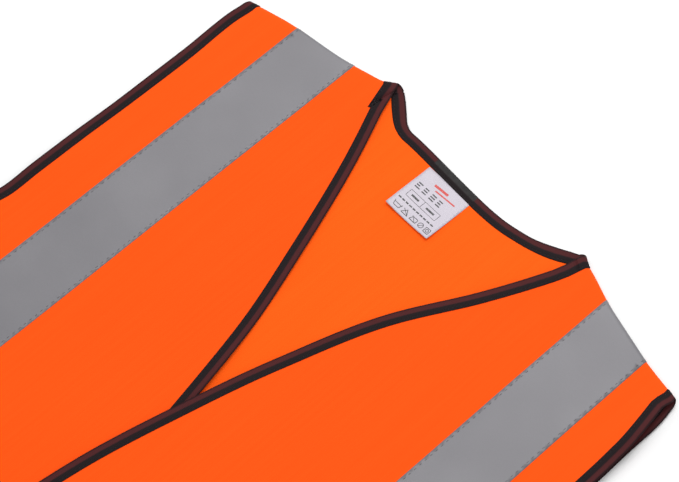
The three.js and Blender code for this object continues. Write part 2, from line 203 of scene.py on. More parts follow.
def ripple(x, y, seed):
    """Long shallow waves of loosely lying cloth, about one unit high."""
    waves = [(9.0, 26.0, 0.4), (21.0, -13.0, 1.9), (-15.0, 33.0, 4.0), (38.0, 17.0, 2.6), (47.0, -41.0, 0.9)]
    total = sum(np.sin(a * x + b * y + c + seed) / (1 + 0.35 * i) for i, (a, b, c) in enumerate(waves))
    return total / 2.4


def back_height(x, y):
    inside = smoothstep(SIDE_X - np.abs(x), 0.0, 0.05)
    below_neck = smoothstep(-y, 0.03, 0.06) * (1 - smoothstep(-y, 0.16, 0.24))
    below_neck = below_neck * (1 - smoothstep(np.abs(x), 0.03, 0.08))
    folds = 0.8 * MM * below_neck * (1 + np.sin(105 * x + 52 * y + 0.8) * np.cos(31 * y - 18 * x))
    return BACK_Z + 0.35 * MM * inside * (1 + ripple(x, y, 0.7)) + folds


def front_height(side, x, y):
    """Height of the middle of a front's cloth; x is on the side's own axis, y from the neck."""
    depth = -y
    flat = smoothstep(side.fold_x - x, 0.0, 0.06) * smoothstep(depth, 0.01, 0.07)
    lie = RIGHT_LIE
    if side.sign > 0:
        lap = smoothstep(depth, 0.19, 0.27) * (1 - smoothstep(x, 0.03, 0.1))
        lie = LEFT_LIE + (LAP_LIE - LEFT_LIE) * lap
    edge = rim_distance(side, x, y)
    droop = 1.2 * MM * (1 - smoothstep(edge, 0.0, 0.045)) * (1 - smoothstep(depth, 0.18, 0.24))
    arm = side.arm - x
    flare = 1.1 * MM * np.exp(-np.clip(arm, 0, 1) / 0.022) * (1 - smoothstep(depth, 0.22, 0.28))
    wave = 0.45 * MM * flat * ripple(x, y, 2.0 * side.sign)
    stands = smoothstep(depth, 0.030, 0.046) * (1 - smoothstep(depth, 0.062, 0.105))
    rise = side.rise * stands * (1 - smoothstep(arm, 0.005, 0.018))
    return lie - droop * smoothstep(depth, 0.0, 0.05) + flare * np.sin(depth * 62 + 1.2) + wave + rise


def rim_distance(side, x, y):
    """Roughly how far a point lies inside the front edge."""
    order = np.argsort(-side.rim[:, 1])
    rim_x = np.interp(-y, -side.rim[order, 1], side.rim[order, 0])
    return np.clip(x - rim_x, 0, 1)


def settle(side, x, y):
    """How far the cloth has slipped along Y near a shoulder: the two do not lie quite alike."""
    depth = -((x - NECK_HALF) * beyond[0] + y * beyond[1])
    if side.sign > 0:
        slip = -3.2 * MM * smoothstep(x, 0.098, 0.135) * (1 - smoothstep(x, 0.168, 0.214))
        peak = 3.0 * MM * (1 - smoothstep(x, 0.088, 0.100))
    else:
        slip = 6.0 * MM * smoothstep(x, 0.125, 0.19)
        peak = 4.4 * MM * (1 - smoothstep(x, 0.0915, 0.1035))
    return slip * (1 - smoothstep(depth, 0.0, 0.13)) + peak * (1 - smoothstep(depth, 0.004, 0.024))


def lift_front(side, p, off=0.0):
    """Points of the unfolded front, on its own axes from the neck, laid in place. Off is outwards."""
    p = np.atleast_2d(np.array(p, float))
    off = np.broadcast_to(off, len(p))
    x, y = p[:, 0], p[:, 1]
    h = (x - NECK_HALF) * beyond[0] + y * beyond[1] + FOLD_DEPTH
    t = (x - NECK_HALF) * along[0] + y * along[1]
    past_side = x - side.fold_x
    foot = np.where((h > 0)[:, None], side_point(t, np.minimum(h, 0) - FOLD_DEPTH), p)
    foot = np.where((past_side > 0)[:, None] & (h <= 0)[:, None],
                    np.stack([np.minimum(x, side.fold_x), y], axis=1), foot)
    top = front_height(side, foot[:, 0], foot[:, 1])
    low = back_height(foot[:, 0], foot[:, 1])
    middle, rise = (top + low) / 2, (top - low) / 2
    out = np.zeros((len(p), 3))
    # Flat cloth.
    out[:, 0], out[:, 1], out[:, 2] = x, y, top + off
    # Over the shoulder, then on along the back.
    over = h > 0
    arc = np.maximum((rise + FOLD_DEPTH) / 2, 1e-4)
    turn = np.clip(h / arc, 0, math.pi)
    reach = np.maximum(h - math.pi * arc, 0)
    push = (FOLD_DEPTH + off) * np.sin(turn) - reach
    spot = side_point(t, -FOLD_DEPTH + push)
    height = middle + (rise + off) * np.cos(turn)
    far = over & (reach > 0)
    height = np.where(far, back_height(spot[:, 0], spot[:, 1]) - off, height)
    out[over] = np.column_stack([spot, height])[over]
    # Round the side.
    round_side = (past_side > 0) & ~over
    arc = (rise + side.trim_radius) / 2
    turn = np.clip(past_side / arc, 0, math.pi)
    reach_x = side.trim_radius - SIDE_TUCK + off
    side_height = middle + (rise + off) * np.cos(turn)
    sideways = np.column_stack([side.fold_x + reach_x * np.sin(turn), y, side_height])
    out[round_side] = sideways[round_side]
    out[:, 1] += settle(side, out[:, 0], out[:, 1])
    out[:, 0] *= side.sign
    out[:, 1] += NECK_Y
    return out


def side_quarter(side):
    """Length of cloth from where a side starts to turn to the seam at half height."""
    rise = (front_height(side, side.fold_x, -0.5) - back_height(side.fold_x, -0.5)) / 2
    return (rise + side.trim_radius) / 2 * math.pi / 2


def lift_back(p, off=0.0):
    """Points of the unfolded back laid in place. Off is outwards, which is down."""
    p = np.atleast_2d(np.array(p, float))
    off = np.broadcast_to(off, len(p))
    x, y = p[:, 0], p[:, 1]
    out = np.column_stack([x, y + NECK_Y, back_height(x, y) - off])
    for side in SIDES:
        past = side.sign * x - side.fold_x
        top, low = front_height(side, side.fold_x, y), back_height(side.fold_x, y)
        middle, rise = (top + low) / 2, (top - low) / 2
        turn = np.clip(past / ((rise + side.trim_radius) / 2), 0, math.pi)
        reach = side.trim_radius - SIDE_TUCK + off
        turned = np.column_stack([side.sign * (side.fold_x + reach * np.sin(turn)), y + NECK_Y,
                                  middle - (rise + off) * np.cos(turn)])
        out = np.where((past > 0)[:, None], turned, out)
        out[:, 1] += np.where(side.sign * x > 0, settle(side, side.sign * x, y), 0)
    return out


LEFT = Side("left", 1, LEFT_EDGE, neck=-3.5, tip=118.5, arm=211, flare=-0.5, pull=4.4, rise=4.0)
RIGHT = Side("right", -1, RIGHT_EDGE, neck=-2.0, tip=126, arm=215.2, flare=1.8, pull=0.5, rise=0)
SIDES = (LEFT, RIGHT)


# ------------------------------------------------------------------ outlines
STEP = 4 * MM


def front_rim(side):
    """The closing edge, from below the neck binding to the hem."""
    start = side_point(side.neck, -FOLD_DEPTH - LEAD)
    last = side.edge[-1]
    curve = spline([start, *side.edge], STEP)
    return np.vstack([curve, resample([last, (last[0], HEM_Y - NECK_Y)], STEP)[1:]])


for _side in SIDES:
    _side.rim = front_rim(_side)


def fold_length(side, t):
    """Length of cloth round the shoulder fold."""
    foot = side_point(t, -FOLD_DEPTH)
    rise = (front_height(side, foot[0], foot[1]) - back_height(foot[0], foot[1])) / 2
    return math.pi * (float(rise) + FOLD_DEPTH) / 2


def drawn_in(side, depth):
    """How far the top layer's armhole edge draws in, most a little below the shoulder."""
    return side.pull * (1 - smoothstep(depth, 0.040, 0.082)) * smoothstep(depth, 0.025, 0.043)


def tip_turn(side):
    """The armhole rim's way over the shoulder fold, as shares of the turn and places along the fold."""
    shares = np.linspace(0, 1, 14)
    pulled = drawn_in(side, -side_point(side.tip, -FOLD_DEPTH)[1])
    rounded = 2.0 * MM * np.sin(shares * math.pi)
    return shares, side.tip - pulled * (1 - smoothstep(shares, 0.1, 0.9)) - rounded


def armhole_curve(side, top_layer=False):
    """Armhole rim from the underarm up to where the shoulder turns."""
    points = [
        (side.fold_x, -UNDERARM),
        (SIDE_X - 38 * MM, -UNDERARM + 8.5 * MM),
        (SIDE_X - 60 * MM, -UNDERARM + 24 * MM),
        (SIDE_X - 76 * MM, -UNDERARM + 42 * MM),
        (SIDE_X - 83 * MM, -UNDERARM + 61 * MM),
        (SIDE_X - 83.2 * MM, -UNDERARM + 90 * MM),
        ((SIDE_X - 83 * MM + side.arm) / 2, -0.18),
        (side.arm, -0.14),
        (side.arm, -0.09),
        (side.arm + side.flare, -0.052),
        side_point(side.tip, -FOLD_DEPTH),
    ]
    curve = spline(points, STEP)
    depth = -curve[:, 1]
    sway = 0.5 * MM * np.sin(depth * 55 + side.sign) * smoothstep(depth, 0.04, 0.08)
    sway = sway * (1 - smoothstep(depth, 0.2, 0.26))
    if top_layer:
        sway -= drawn_in(side, depth)
    return curve + np.column_stack([sway, np.zeros(len(curve))])


# Back neck rim from the left shoulder fold to the right one.
NECK_CURVE = [(86, -1.5), (72, -7.5), (50, -14), (20, -17.5), (-45, -15), (-62, -14.5), (-73, -9), (-83, -3),
              (-86, -1)]


def neck_curve():
    """Back neck rim from the left shoulder fold to the right one, on the vest's own axes."""
    return spline(np.array(NECK_CURVE) * MM, STEP)


# ------------------------------------------------------------------ sheets and strips
def fill(outline, spacing, close=None):
    """Triangles inside a closed outline, on a staggered grid; close gives points and the zone they fill."""
    outline = np.array(outline)
    low, high = outline.min(axis=0), outline.max(axis=0)
    ys = np.arange(low[1] + spacing / 2, high[1], spacing * 0.87)
    grid = [(x, y) for i, y in enumerate(ys)
            for x in np.arange(low[0] + spacing * (0.25 + 0.5 * (i % 2)), high[0], spacing)]
    grid = np.array(grid)
    if close:
        points, zone = close
        grid = np.vstack([grid[~zone(grid)], points])
    # Keep grid points that are inside and not too near the outline.
    inside = np.zeros(len(grid), bool)
    a, b = outline, np.roll(outline, -1, axis=0)
    near = np.full(len(grid), 1e9)
    for (x0, y0), (x1, y1) in zip(a, b):
        crosses = (y0 > grid[:, 1]) != (y1 > grid[:, 1])
        with np.errstate(divide="ignore", invalid="ignore"):
            cut = (x1 - x0) * (grid[:, 1] - y0) / (y1 - y0) + x0
        inside ^= crosses & (grid[:, 0] < cut)
        d = np.array([x1 - x0, y1 - y0])
        s = np.clip(((grid - [x0, y0]) @ d) / max(d @ d, 1e-12), 0, 1)
        near = np.minimum(near, np.linalg.norm(grid - ([x0, y0] + s[:, None] * d), axis=1))
    grid = grid[inside & (near > (0.5 * MM if close else spacing * 0.45))]
    points = np.vstack([outline, grid])
    n = len(outline)
    edges = [(i, (i + 1) % n) for i in range(n)]
    verts, _, faces, *_ = delaunay_2d_cdt([Vector(q) for q in points], edges, [list(range(n))], 1, 1e-7)
    return np.array([tuple(v) for v in verts]), [tuple(f) for f in faces]


def area_of(outline):
    x, y = np.array(outline).T
    return abs(float(np.dot(x, np.roll(y, -1)) - np.dot(y, np.roll(x, -1)))) / 2


TURN_LENGTH = 11 * MM  # width of cloth that bends when a front opens
TURN_STEP = 1.4 * MM


def folded_zone(side):
    """Close rows of points where a front turns over its shoulder, round its side and when it opens."""
    shoulder = [side_point(t, h) for h in np.arange(-FOLD_DEPTH - 2.0 * MM, 20 * MM, 0.8 * MM)
                for t in np.arange(-4 * MM, 0.14, 3 * MM)]
    flank = [(x, y) for x in np.arange(side.fold_x - 1 * MM, SIDE_X + 10 * MM, 0.9 * MM)
             for y in np.arange(HEM_Y - NECK_Y, -UNDERARM, 3 * MM)]
    joint_xs = np.arange(side.fold_joint - TURN_LENGTH - 2 * MM, side.fold_joint + 2 * MM, TURN_STEP)
    bend = [(x, y) for x in joint_xs for y in np.arange(HEM_Y - NECK_Y, -10 * MM, 4 * MM)]

    def zone(p):
        h = (p[:, 0] - NECK_HALF) * beyond[0] + p[:, 1] * beyond[1]
        bending = np.abs(p[:, 0] - side.fold_joint + TURN_LENGTH / 2) < TURN_LENGTH / 2 + 4 * MM
        return (h > -FOLD_DEPTH - 3.5 * MM) | (p[:, 0] > side.fold_x - 2.5 * MM) | bending

    return np.array(shoulder + flank + bend), zone


def sheet(name, outline, lift, top, bottom, material, spacing=STEP, close=None, reverse=None):
    """A closed thin sheet of cloth between two offsets of its laid surface; reverse is its inner face."""
    flat, faces = fill(outline, spacing, close)
    n = len(flat)
    vertices = np.vstack([lift(flat, top), lift(flat, bottom)])
    count = {}
    for f in faces:
        for i in range(len(f)):
            e = (f[i], f[(i + 1) % len(f)])
            count[e] = count.get(e, 0) + 1
    rim = [e for e in count if (e[1], e[0]) not in count]
    all_faces = list(faces) + [tuple(n + i for i in reversed(f)) for f in faces]
    all_faces += [(b, a, a + n, b + n) for a, b in rim]
    inner_face = [0] * len(faces) + [1 if reverse else 0] * len(faces) + [0] * len(rim)
    materials = [material, reverse] if reverse else [material]
    return outward(new_mesh(name, vertices, all_faces, np.vstack([flat, flat]), materials, inner_face))


def ring_faces(count, size, closed=False):
    """Faces between count rings of size points each, with a cap at both ends unless they close."""
    faces = []
    for i in range(count if closed else count - 1):
        a, b = i * size, ((i + 1) % count) * size
        faces += [(a + j, a + (j + 1) % size, b + (j + 1) % size, b + j) for j in range(size)]
    if not closed:
        faces += [tuple(range(size))[::-1], tuple(range((count - 1) * size, count * size))]
    return faces


def swept(name, stations, section, material, closed=False):
    """A section carried along stations (lift, point, out), as a closed solid with UV along and across."""
    section = np.array(section)
    rows, uvs, run, before = [], [], 0.0, None
    for lift, point, out in stations:
        row = lift(point + np.multiply.outer(section[:, 0], out), section[:, 1])
        centre = row.mean(axis=0)
        run += 0.0 if before is None else float(np.linalg.norm(centre - before))
        before = centre
        rows.append(row)
        uvs.append(np.column_stack([np.full(len(section), run), section[:, 0]]))
    faces = ring_faces(len(rows), len(section), closed)
    return outward(new_mesh(name, np.vstack(rows), faces, np.vstack(uvs), [material]))


# Binding: a tape folded round the edge, its raw edges turned under for the inner half.
_top = [(-8.5, 0.27), (-8.6, 0.45), (-8.35, 0.68), (-7.7, 0.74), (-7.2, 0.66),
        (-6.9, 0.6), (-6.6, 0.66), (-5.7, 0.76), (-4.9, 0.74), (-4.5, 0.66),
        (-4.1, 0.58), (-2.4, 0.58), (-0.9, 0.56), (-0.1, 0.43), (0.2, 0.2)]
_inner = [(-1.0, -0.27), (-0.75, 0.0), (-1.0, 0.27)]
BINDING_SECTION = [(u * MM, w * MM) for u, w in
                   _top + [(0.28, 0.0)] + [(u, -w) for u, w in reversed(_top)] + _inner]


def stations(lift, path, hand):
    out = mitre(path, hand)
    return [(lift, p, o) for p, o in zip(path, out)]


def on_front(side):
    return lambda p, off=0.0: lift_front(side, p, off)


def mirrored(side, path):
    """A path on a side's own axes, on the vest's axes."""
    return np.array(path) * [side.sign, 1]


# ------------------------------------------------------------------ materials
def material(name):
    m = bpy.data.materials.new(name)
    m.use_nodes = True
    return m, m.node_tree, m.node_tree.nodes["Principled BSDF"]


def node(tree, kind, inputs=(), **settings):
    n = tree.nodes.new(kind)
    for key, value in settings.items():
        setattr(n, key, value)
    for key, value in dict(inputs).items():
        if isinstance(value, bpy.types.NodeSocket):
            tree.links.new(value, n.inputs[key])
        else:
            n.inputs[key].default_value = value
    return n


def math_node(tree, operation, a, b=0.0):
    return node(tree, "ShaderNodeMath", {0: a, 1: b}, operation=operation).outputs[0]


def mix_color(tree, factor, a, b):
    return node(tree, "ShaderNodeMix", {0: factor, 6: a, 7: b}, data_type="RGBA").outputs[2]


def ramp(tree, factor, stops):
    n = node(tree, "ShaderNodeValToRGB", {0: factor})
    while len(n.color_ramp.elements) < len(stops):
        n.color_ramp.elements.new(0.5)
    for element, (position, color) in zip(n.color_ramp.elements, stops):
        element.position, element.color = position, color
    return n.outputs[0]


def uv_axes(tree):
    uv = node(tree, "ShaderNodeUVMap", uv_map="Cloth").outputs[0]
    axes = node(tree, "ShaderNodeSeparateXYZ", {0: uv})
    return uv, axes.outputs[0], axes.outputs[1]


def wave(tree, coordinate, pitch, phase=0.0):
    """A sine of the coordinate with the given pitch, from 0 to 1."""
    turn = math_node(tree, "MULTIPLY", coordinate, 2 * math.pi / pitch)
    s = math_node(tree, "SINE", math_node(tree, "ADD", turn, phase))
    return math_node(tree, "ADD", math_node(tree, "MULTIPLY", s, 0.5), 0.5)


def bump(tree, bsdf, height, strength, distance):
    n = node(tree, "ShaderNodeBump", {"Strength": strength, "Distance": distance, "Height": height})
    tree.links.new(n.outputs[0], bsdf.inputs["Normal"])


def orange_knit(name, green, wale_shade):
    """Fluorescent warp knit: fine wales down the cloth, courses across, and a painted glow: its colour given
    off as light.
    """
    m, tree, bsdf = material(name)
    uv, x, y = uv_axes(tree)
    wales = wave(tree, x, 1.25 * MM)
    courses = wave(tree, y, 0.9 * MM)
    loops = math_node(tree, "MULTIPLY", wales, 0.7)
    loops = math_node(tree, "ADD", loops, math_node(tree, "MULTIPLY", courses, 0.3))
    streaks = node(tree, "ShaderNodeTexNoise", {"Vector": node(tree, "ShaderNodeMapping", {
        "Vector": uv, "Scale": (420, 9, 1)}).outputs[0], "Scale": 1.0, "Detail": 2.0}).outputs[0]
    clouds = node(tree, "ShaderNodeTexNoise", {"Vector": uv, "Scale": 7.0, "Detail": 3.0}).outputs[0]
    tone = ramp(tree, streaks, [(0.3, (0.93, green, 0.003, 1)), (0.7, (0.95, green * 1.08, 0.004, 1))])
    tone = mix_color(tree, math_node(tree, "MULTIPLY", clouds, 0.35), tone, (0.98, green * 1.35, 0.006, 1))
    # Painted shade: darker orange along the wales and courses, partly the knit's own pattern and partly
    # shade painted into the grooves between the loops.
    groove_shade = math_node(tree, "MULTIPLY", loops, wale_shade)
    shade = mix_color(tree, groove_shade, tone, (0.72, green * 0.5, 0.002, 1))
    tree.links.new(shade, bsdf.inputs["Base Color"])
    # Painted glow: the knit's colour is also given off as light, standing in for its fluorescence.
    tree.links.new(shade, bsdf.inputs["Emission Color"])
    bsdf.inputs["Emission Strength"].default_value = 0.12
    bsdf.inputs["Roughness"].default_value = 0.85
    bsdf.inputs["Sheen Weight"].default_value = 0.06
    bsdf.inputs["Sheen Tint"].default_value = (1.0, 0.35, 0.12, 1)
    bsdf.inputs["Specular IOR Level"].default_value = 0.12
    bump(tree, bsdf, loops, 0.35, 0.12 * MM)
    return m


def reflective_tape():
    """Grey retroreflective tape: a bed of fine glass beads on a faintly creased cloth."""
    m, tree, bsdf = material("reflective_tape")
    uv, _, _ = uv_axes(tree)
    beads = node(tree, "ShaderNodeTexVoronoi", {"Vector": uv, "Scale": 2600.0}).outputs[0]
    creases = node(tree, "ShaderNodeTexNoise", {
        "Vector": uv, "Scale": 60.0, "Detail": 5.0, "Roughness": 0.6}).outputs[0]
    clouds = node(tree, "ShaderNodeTexNoise", {"Vector": uv, "Scale": 14.0, "Detail": 2.0}).outputs[0]
    base = ramp(tree, clouds, [(0.25, (0.170, 0.165, 0.178, 1)), (0.75, (0.211, 0.205, 0.219, 1))])
    base = mix_color(tree, math_node(tree, "MULTIPLY", beads, 0.25), base, (0.13, 0.127, 0.138, 1))
    tree.links.new(base, bsdf.inputs["Base Color"])
    bsdf.inputs["Metallic"].default_value = 0.15
    bsdf.inputs["Roughness"].default_value = 0.5
    height = math_node(tree, "ADD", creases, math_node(tree, "MULTIPLY", beads, 0.1))
    bump(tree, bsdf, height, 0.25, 0.5 * MM)
    return m


def dark_binding(name, rim_over_label=False):
    """Thin black woven tape: black where it is doubled, dark red where the orange shows through."""
    m, tree, bsdf = material(name)
    uv, run, across = uv_axes(tree)
    ribs = wave(tree, run, 0.9 * MM)
    threads = wave(tree, across, 0.7 * MM)
    weave = math_node(tree, "MULTIPLY", ribs, threads)
    place = node(tree, "ShaderNodeMapRange", {0: across, 1: -8.6 * MM, 2: 0.28 * MM}).outputs[0]
    mottle = node(tree, "ShaderNodeTexNoise", {"Vector": uv, "Scale": 260.0, "Detail": 3.0}).outputs[0]
    uneven = math_node(tree, "MULTIPLY", math_node(tree, "SUBTRACT", mottle, 0.5), 0.07)
    place = math_node(tree, "ADD", place, uneven)
    black, rim = (0.0045, 0.0035, 0.0045, 1), (0.068, 0.0105, 0.0115, 1)
    outermost = (0.014, 0.003, 0.004, 1)
    base = ramp(tree, place, [(0.0, black), (0.47, black), (0.58, rim), (0.82, rim), (0.93, outermost)])
    if rim_over_label:
        low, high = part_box("care_label")
        position = node(tree, "ShaderNodeTexCoord").outputs["Object"]
        x = node(tree, "ShaderNodeSeparateXYZ", {0: position}).outputs[0]
        middle = (low[0] + high[0]) / 2
        away = math_node(tree, "ABSOLUTE", math_node(tree, "SUBTRACT", x, middle))
        over = node(tree, "ShaderNodeMapRange", {0: away, 1: (high[0] - low[0]) / 2 + 0.5 * MM,
                                                 2: (high[0] - low[0]) / 2 - 0.5 * MM}).outputs[0]
        outer = node(tree, "ShaderNodeMapRange", {0: across, 1: -5.0 * MM, 2: -3.9 * MM}).outputs[0]
        grey = mix_color(tree, mottle, (0.010, 0.011, 0.011, 1), (0.045, 0.048, 0.048, 1))
        base = mix_color(tree, math_node(tree, "MULTIPLY", over, outer), base, grey)
    base = mix_color(tree, math_node(tree, "MULTIPLY", weave, 0.3), base, (0.085, 0.035, 0.04, 1))
    tree.links.new(base, bsdf.inputs["Base Color"])
    bsdf.inputs["Roughness"].default_value = 0.7
    bsdf.inputs["Specular IOR Level"].default_value = 0.15
    bump(tree, bsdf, weave, 0.5, 0.12 * MM)
    return m


def thread(name, color, roughness=0.6):
    """Twisted sewing thread."""
    m, tree, bsdf = material(name)
    place = node(tree, "ShaderNodeTexCoord").outputs["Object"]
    twist = node(tree, "ShaderNodeTexNoise", {"Vector": place, "Scale": 1500.0, "Detail": 1.0}).outputs[0]
    dark = tuple(c * 0.6 for c in color[:3]) + (1,)
    tree.links.new(mix_color(tree, twist, dark, color), bsdf.inputs["Base Color"])
    bsdf.inputs["Roughness"].default_value = roughness
    bump(tree, bsdf, twist, 0.3, 0.1 * MM)
    return m


def label_satin():
    m, tree, bsdf = material("label_satin")
    uv, x, y = uv_axes(tree)
    weave = math_node(tree, "MULTIPLY", wave(tree, x, 0.35 * MM), wave(tree, y, 0.35 * MM))
    tone = node(tree, "ShaderNodeTexNoise", {"Vector": uv, "Scale": 90.0, "Detail": 2.0}).outputs[0]
    base = mix_color(tree, tone, (0.50, 0.462, 0.525, 1), (0.555, 0.515, 0.58, 1))
    tree.links.new(base, bsdf.inputs["Base Color"])
    bsdf.inputs["Roughness"].default_value = 0.45
    bsdf.inputs["Sheen Weight"].default_value = 0.2
    bump(tree, bsdf, weave, 0.2, 0.05 * MM)
    return m


def ink(name, color):
    m, tree, bsdf = material(name)
    place = node(tree, "ShaderNodeTexCoord").outputs["Object"]
    patchy = node(tree, "ShaderNodeTexNoise", {"Vector": place, "Scale": 1800.0, "Detail": 2.0}).outputs[0]
    pale = tuple(c * 0.6 + 0.22 for c in color[:3]) + (1,)
    mask = ramp(tree, patchy, [(0.45, (0, 0, 0, 1)), (0.75, (1, 1, 1, 1))])
    tree.links.new(mix_color(tree, mask, color, pale), bsdf.inputs["Base Color"])
    bsdf.inputs["Roughness"].default_value = 0.6
    return m


def hook_and_loop():
    m, tree, bsdf = material("hook_and_loop")
    uv, _, _ = uv_axes(tree)
    fuzz = node(tree, "ShaderNodeTexNoise", {"Vector": uv, "Scale": 900.0, "Detail": 4.0}).outputs[0]
    color = mix_color(tree, fuzz, (0.50, 0.045, 0.006, 1), (0.85, 0.12, 0.02, 1))
    tree.links.new(color, bsdf.inputs["Base Color"])
    bsdf.inputs["Roughness"].default_value = 0.85
    bsdf.inputs["Sheen Weight"].default_value = 0.4
    bump(tree, bsdf, fuzz, 0.8, 0.5 * MM)
    return m


def studio_floor():
    m, tree, bsdf = material("pale_paper")
    place = node(tree, "ShaderNodeTexCoord").outputs["Object"]
    tone = node(tree, "ShaderNodeTexNoise", {"Vector": place, "Scale": 30.0, "Detail": 2.0}).outputs[0]
    color = mix_color(tree, tone, (0.93, 0.93, 0.93, 1), (0.95, 0.95, 0.95, 1))
    tree.links.new(color, bsdf.inputs["Base Color"])
    bsdf.inputs["Roughness"].default_value = 0.9
    return m


KNIT = orange_knit("orange_warp_knit", 0.077, 0.13)
KNIT_REVERSE = orange_knit("orange_warp_knit_reverse", 0.094, 0.08)
REFLECTIVE = reflective_tape()
BINDING_CLOTH = dark_binding("black_binding")
NECK_CLOTH = dark_binding("black_neck_binding", rim_over_label=True)
TAPE_THREAD = thread("tape_thread", (0.045, 0.04, 0.05, 1))
BINDING_THREAD = thread("binding_thread", (0.006, 0.005, 0.006, 1))
ORANGE_THREAD = thread("overlock_thread", (0.92, 0.13, 0.02, 1))
LABEL = label_satin()
BLACK_INK = ink("black_ink", (0.03, 0.03, 0.035, 1))
RED_INK = ink("red_ink", (0.62, 0.03, 0.02, 1))
HOOKS = hook_and_loop()
HOOKS_FACE = thread("hook_and_loop_face", (0.80, 0.11, 0.02, 1), 0.7)


# ------------------------------------------------------------------ stitches
def stitch_tree():
    """Geometry nodes: small rounded stitches at an even pitch along curves."""
    tree = bpy.data.node_groups.new("stitch_row", "GeometryNodeTree")
    face = tree.interface
    face.new_socket("Geometry", in_out="INPUT", socket_type="NodeSocketGeometry")
    for name, value in (("Pitch", 3 * MM), ("Length", 2 * MM), ("Thickness", 0.4 * MM)):
        face.new_socket(name, in_out="INPUT", socket_type="NodeSocketFloat").default_value = value
    face.new_socket("Material", in_out="INPUT", socket_type="NodeSocketMaterial")
    face.new_socket("Geometry", in_out="OUTPUT", socket_type="NodeSocketGeometry")
    source = tree.nodes.new("NodeGroupInput").outputs
    points = node(tree, "GeometryNodeCurveToPoints", mode="LENGTH")
    ball = node(tree, "GeometryNodeMeshIcoSphere", {"Radius": 0.5, "Subdivisions": 1})
    size = node(tree, "ShaderNodeCombineXYZ")
    place = node(tree, "GeometryNodeInstanceOnPoints")
    real = node(tree, "GeometryNodeRealizeInstances")
    smooth = node(tree, "GeometryNodeSetShadeSmooth")
    dye = node(tree, "GeometryNodeSetMaterial")
    end = tree.nodes.new("NodeGroupOutput")
    link = tree.links.new
    link(source["Geometry"], points.inputs["Curve"])
    link(source["Pitch"], points.inputs["Length"])
    link(source["Thickness"], size.inputs[0])
    link(source["Thickness"], size.inputs[1])
    link(source["Length"], size.inputs[2])
    link(points.outputs["Points"], place.inputs["Points"])
    link(points.outputs["Rotation"], place.inputs["Rotation"])
    link(ball.outputs["Mesh"], place.inputs["Instance"])
    link(size.outputs[0], place.inputs["Scale"])
    link(place.outputs[0], real.inputs[0])
    link(real.outputs[0], smooth.inputs[0])
    link(smooth.outputs[0], dye.inputs["Geometry"])
    link(source["Material"], dye.inputs["Material"])
    link(dye.outputs[0], end.inputs[0])
    return tree


STITCHES = stitch_tree()


def stitches(name, rows, thread_material, pitch, length, thickness):
    """Rows of stitches, each row a list of points, made into one plain mesh."""
    curve = bpy.data.curves.new(name + "_rows", "CURVE")
    curve.dimensions = "3D"
    for row in rows:
        poly = curve.splines.new("POLY")
        poly.points.add(len(row) - 1)
        poly.points.foreach_set("co", np.column_stack([row, np.ones(len(row))]).ravel())
    rows_object = bpy.data.objects.new(name + "_rows", curve)
    scene.collection.objects.link(rows_object)
    modifier = rows_object.modifiers.new("stitches", "NODES")
    modifier.node_group = STITCHES
    sockets = {s.name: s.identifier for s in STITCHES.interface.items_tree if s.in_out == "INPUT"}
    values = {"Pitch": pitch, "Length": length, "Thickness": thickness, "Material": thread_material}
    for key, value in values.items():
        modifier[sockets[key]] = value
    bpy.context.view_layer.update()
    evaluated = rows_object.evaluated_get(bpy.context.evaluated_depsgraph_get())
    mesh = bpy.data.meshes.new_from_object(evaluated)
    bpy.data.objects.remove(rows_object)
    obj = bpy.data.objects.new(name, mesh)
    scene.collection.objects.link(obj)
    if not mesh.materials:
        mesh.materials.append(thread_material)
    return obj


def opens_with(piece):
    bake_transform(piece)
    return piece


def place(piece, slot, body=None, replaces=()):
    if body:
        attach(piece, body)
    if replaces:
        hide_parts(*replaces)
    return piece


# ------------------------------------------------------------------ panels
INSET = 1.1 * MM  # cloth edges stop this far inside a binding's rim


def inset(path, hand, distance=INSET):
    return path - mitre(path, hand) * distance


def front_panel(side):
    """One front in one piece of cloth, from the shoulder seam to the hem and round to the side seam."""
    rim = inset(side.rim, -1)[:-1]
    rim = rim[rim[:, 1] > HEM_Y - NECK_Y + INSET]
    arm = inset(armhole_curve(side, top_layer=True), -1)
    hem = HEM_Y - NECK_Y + INSET
    side_x = side.fold_x + side_quarter(side) - 0.1 * MM
    neck_t, arm_t = side.neck + BINDING - 1.2 * MM, side.tip - INSET
    over_neck = fold_length(side, neck_t) + SEAM_BACK - FOLD_DEPTH
    over_arm = fold_length(side, arm_t) + SEAM_BACK - FOLD_DEPTH
    seam = np.array([side_point(arm_t, over_arm), side_point(neck_t, over_neck)])
    turned = fold_length(side, side.tip)
    tip = [side_point(t - INSET, share * turned - FOLD_DEPTH) for share, t in zip(*tip_turn(side))]
    outline = [
        *resample([(rim[-1][0], hem), (side_x, hem), (side_x, arm[0][1])], STEP),
        *arm[arm[:, 0] < side_x - 0.5 * MM][:-1],
        *tip,
        *resample([tip[-1], seam[0]], 1.2 * MM)[1:-1],
        *resample(seam, STEP)[:-1],
        *resample([seam[1], side_point(neck_t, -FOLD_DEPTH - LEAD)], 1.2 * MM),
        *rim,
    ]
    piece = sheet(f"{side.name}_front_cloth", outline, on_front(side), CLOTH / 2, -CLOTH / 2, KNIT,
                  close=folded_zone(side), reverse=KNIT_REVERSE)
    opens_with(piece)
    place(piece, "orange_knit", replaces=(f"{side.name}_front_side_panel", f"{side.name}_front_flap_panel"))
    piece["flat_area"] = area_of(outline)
    return piece


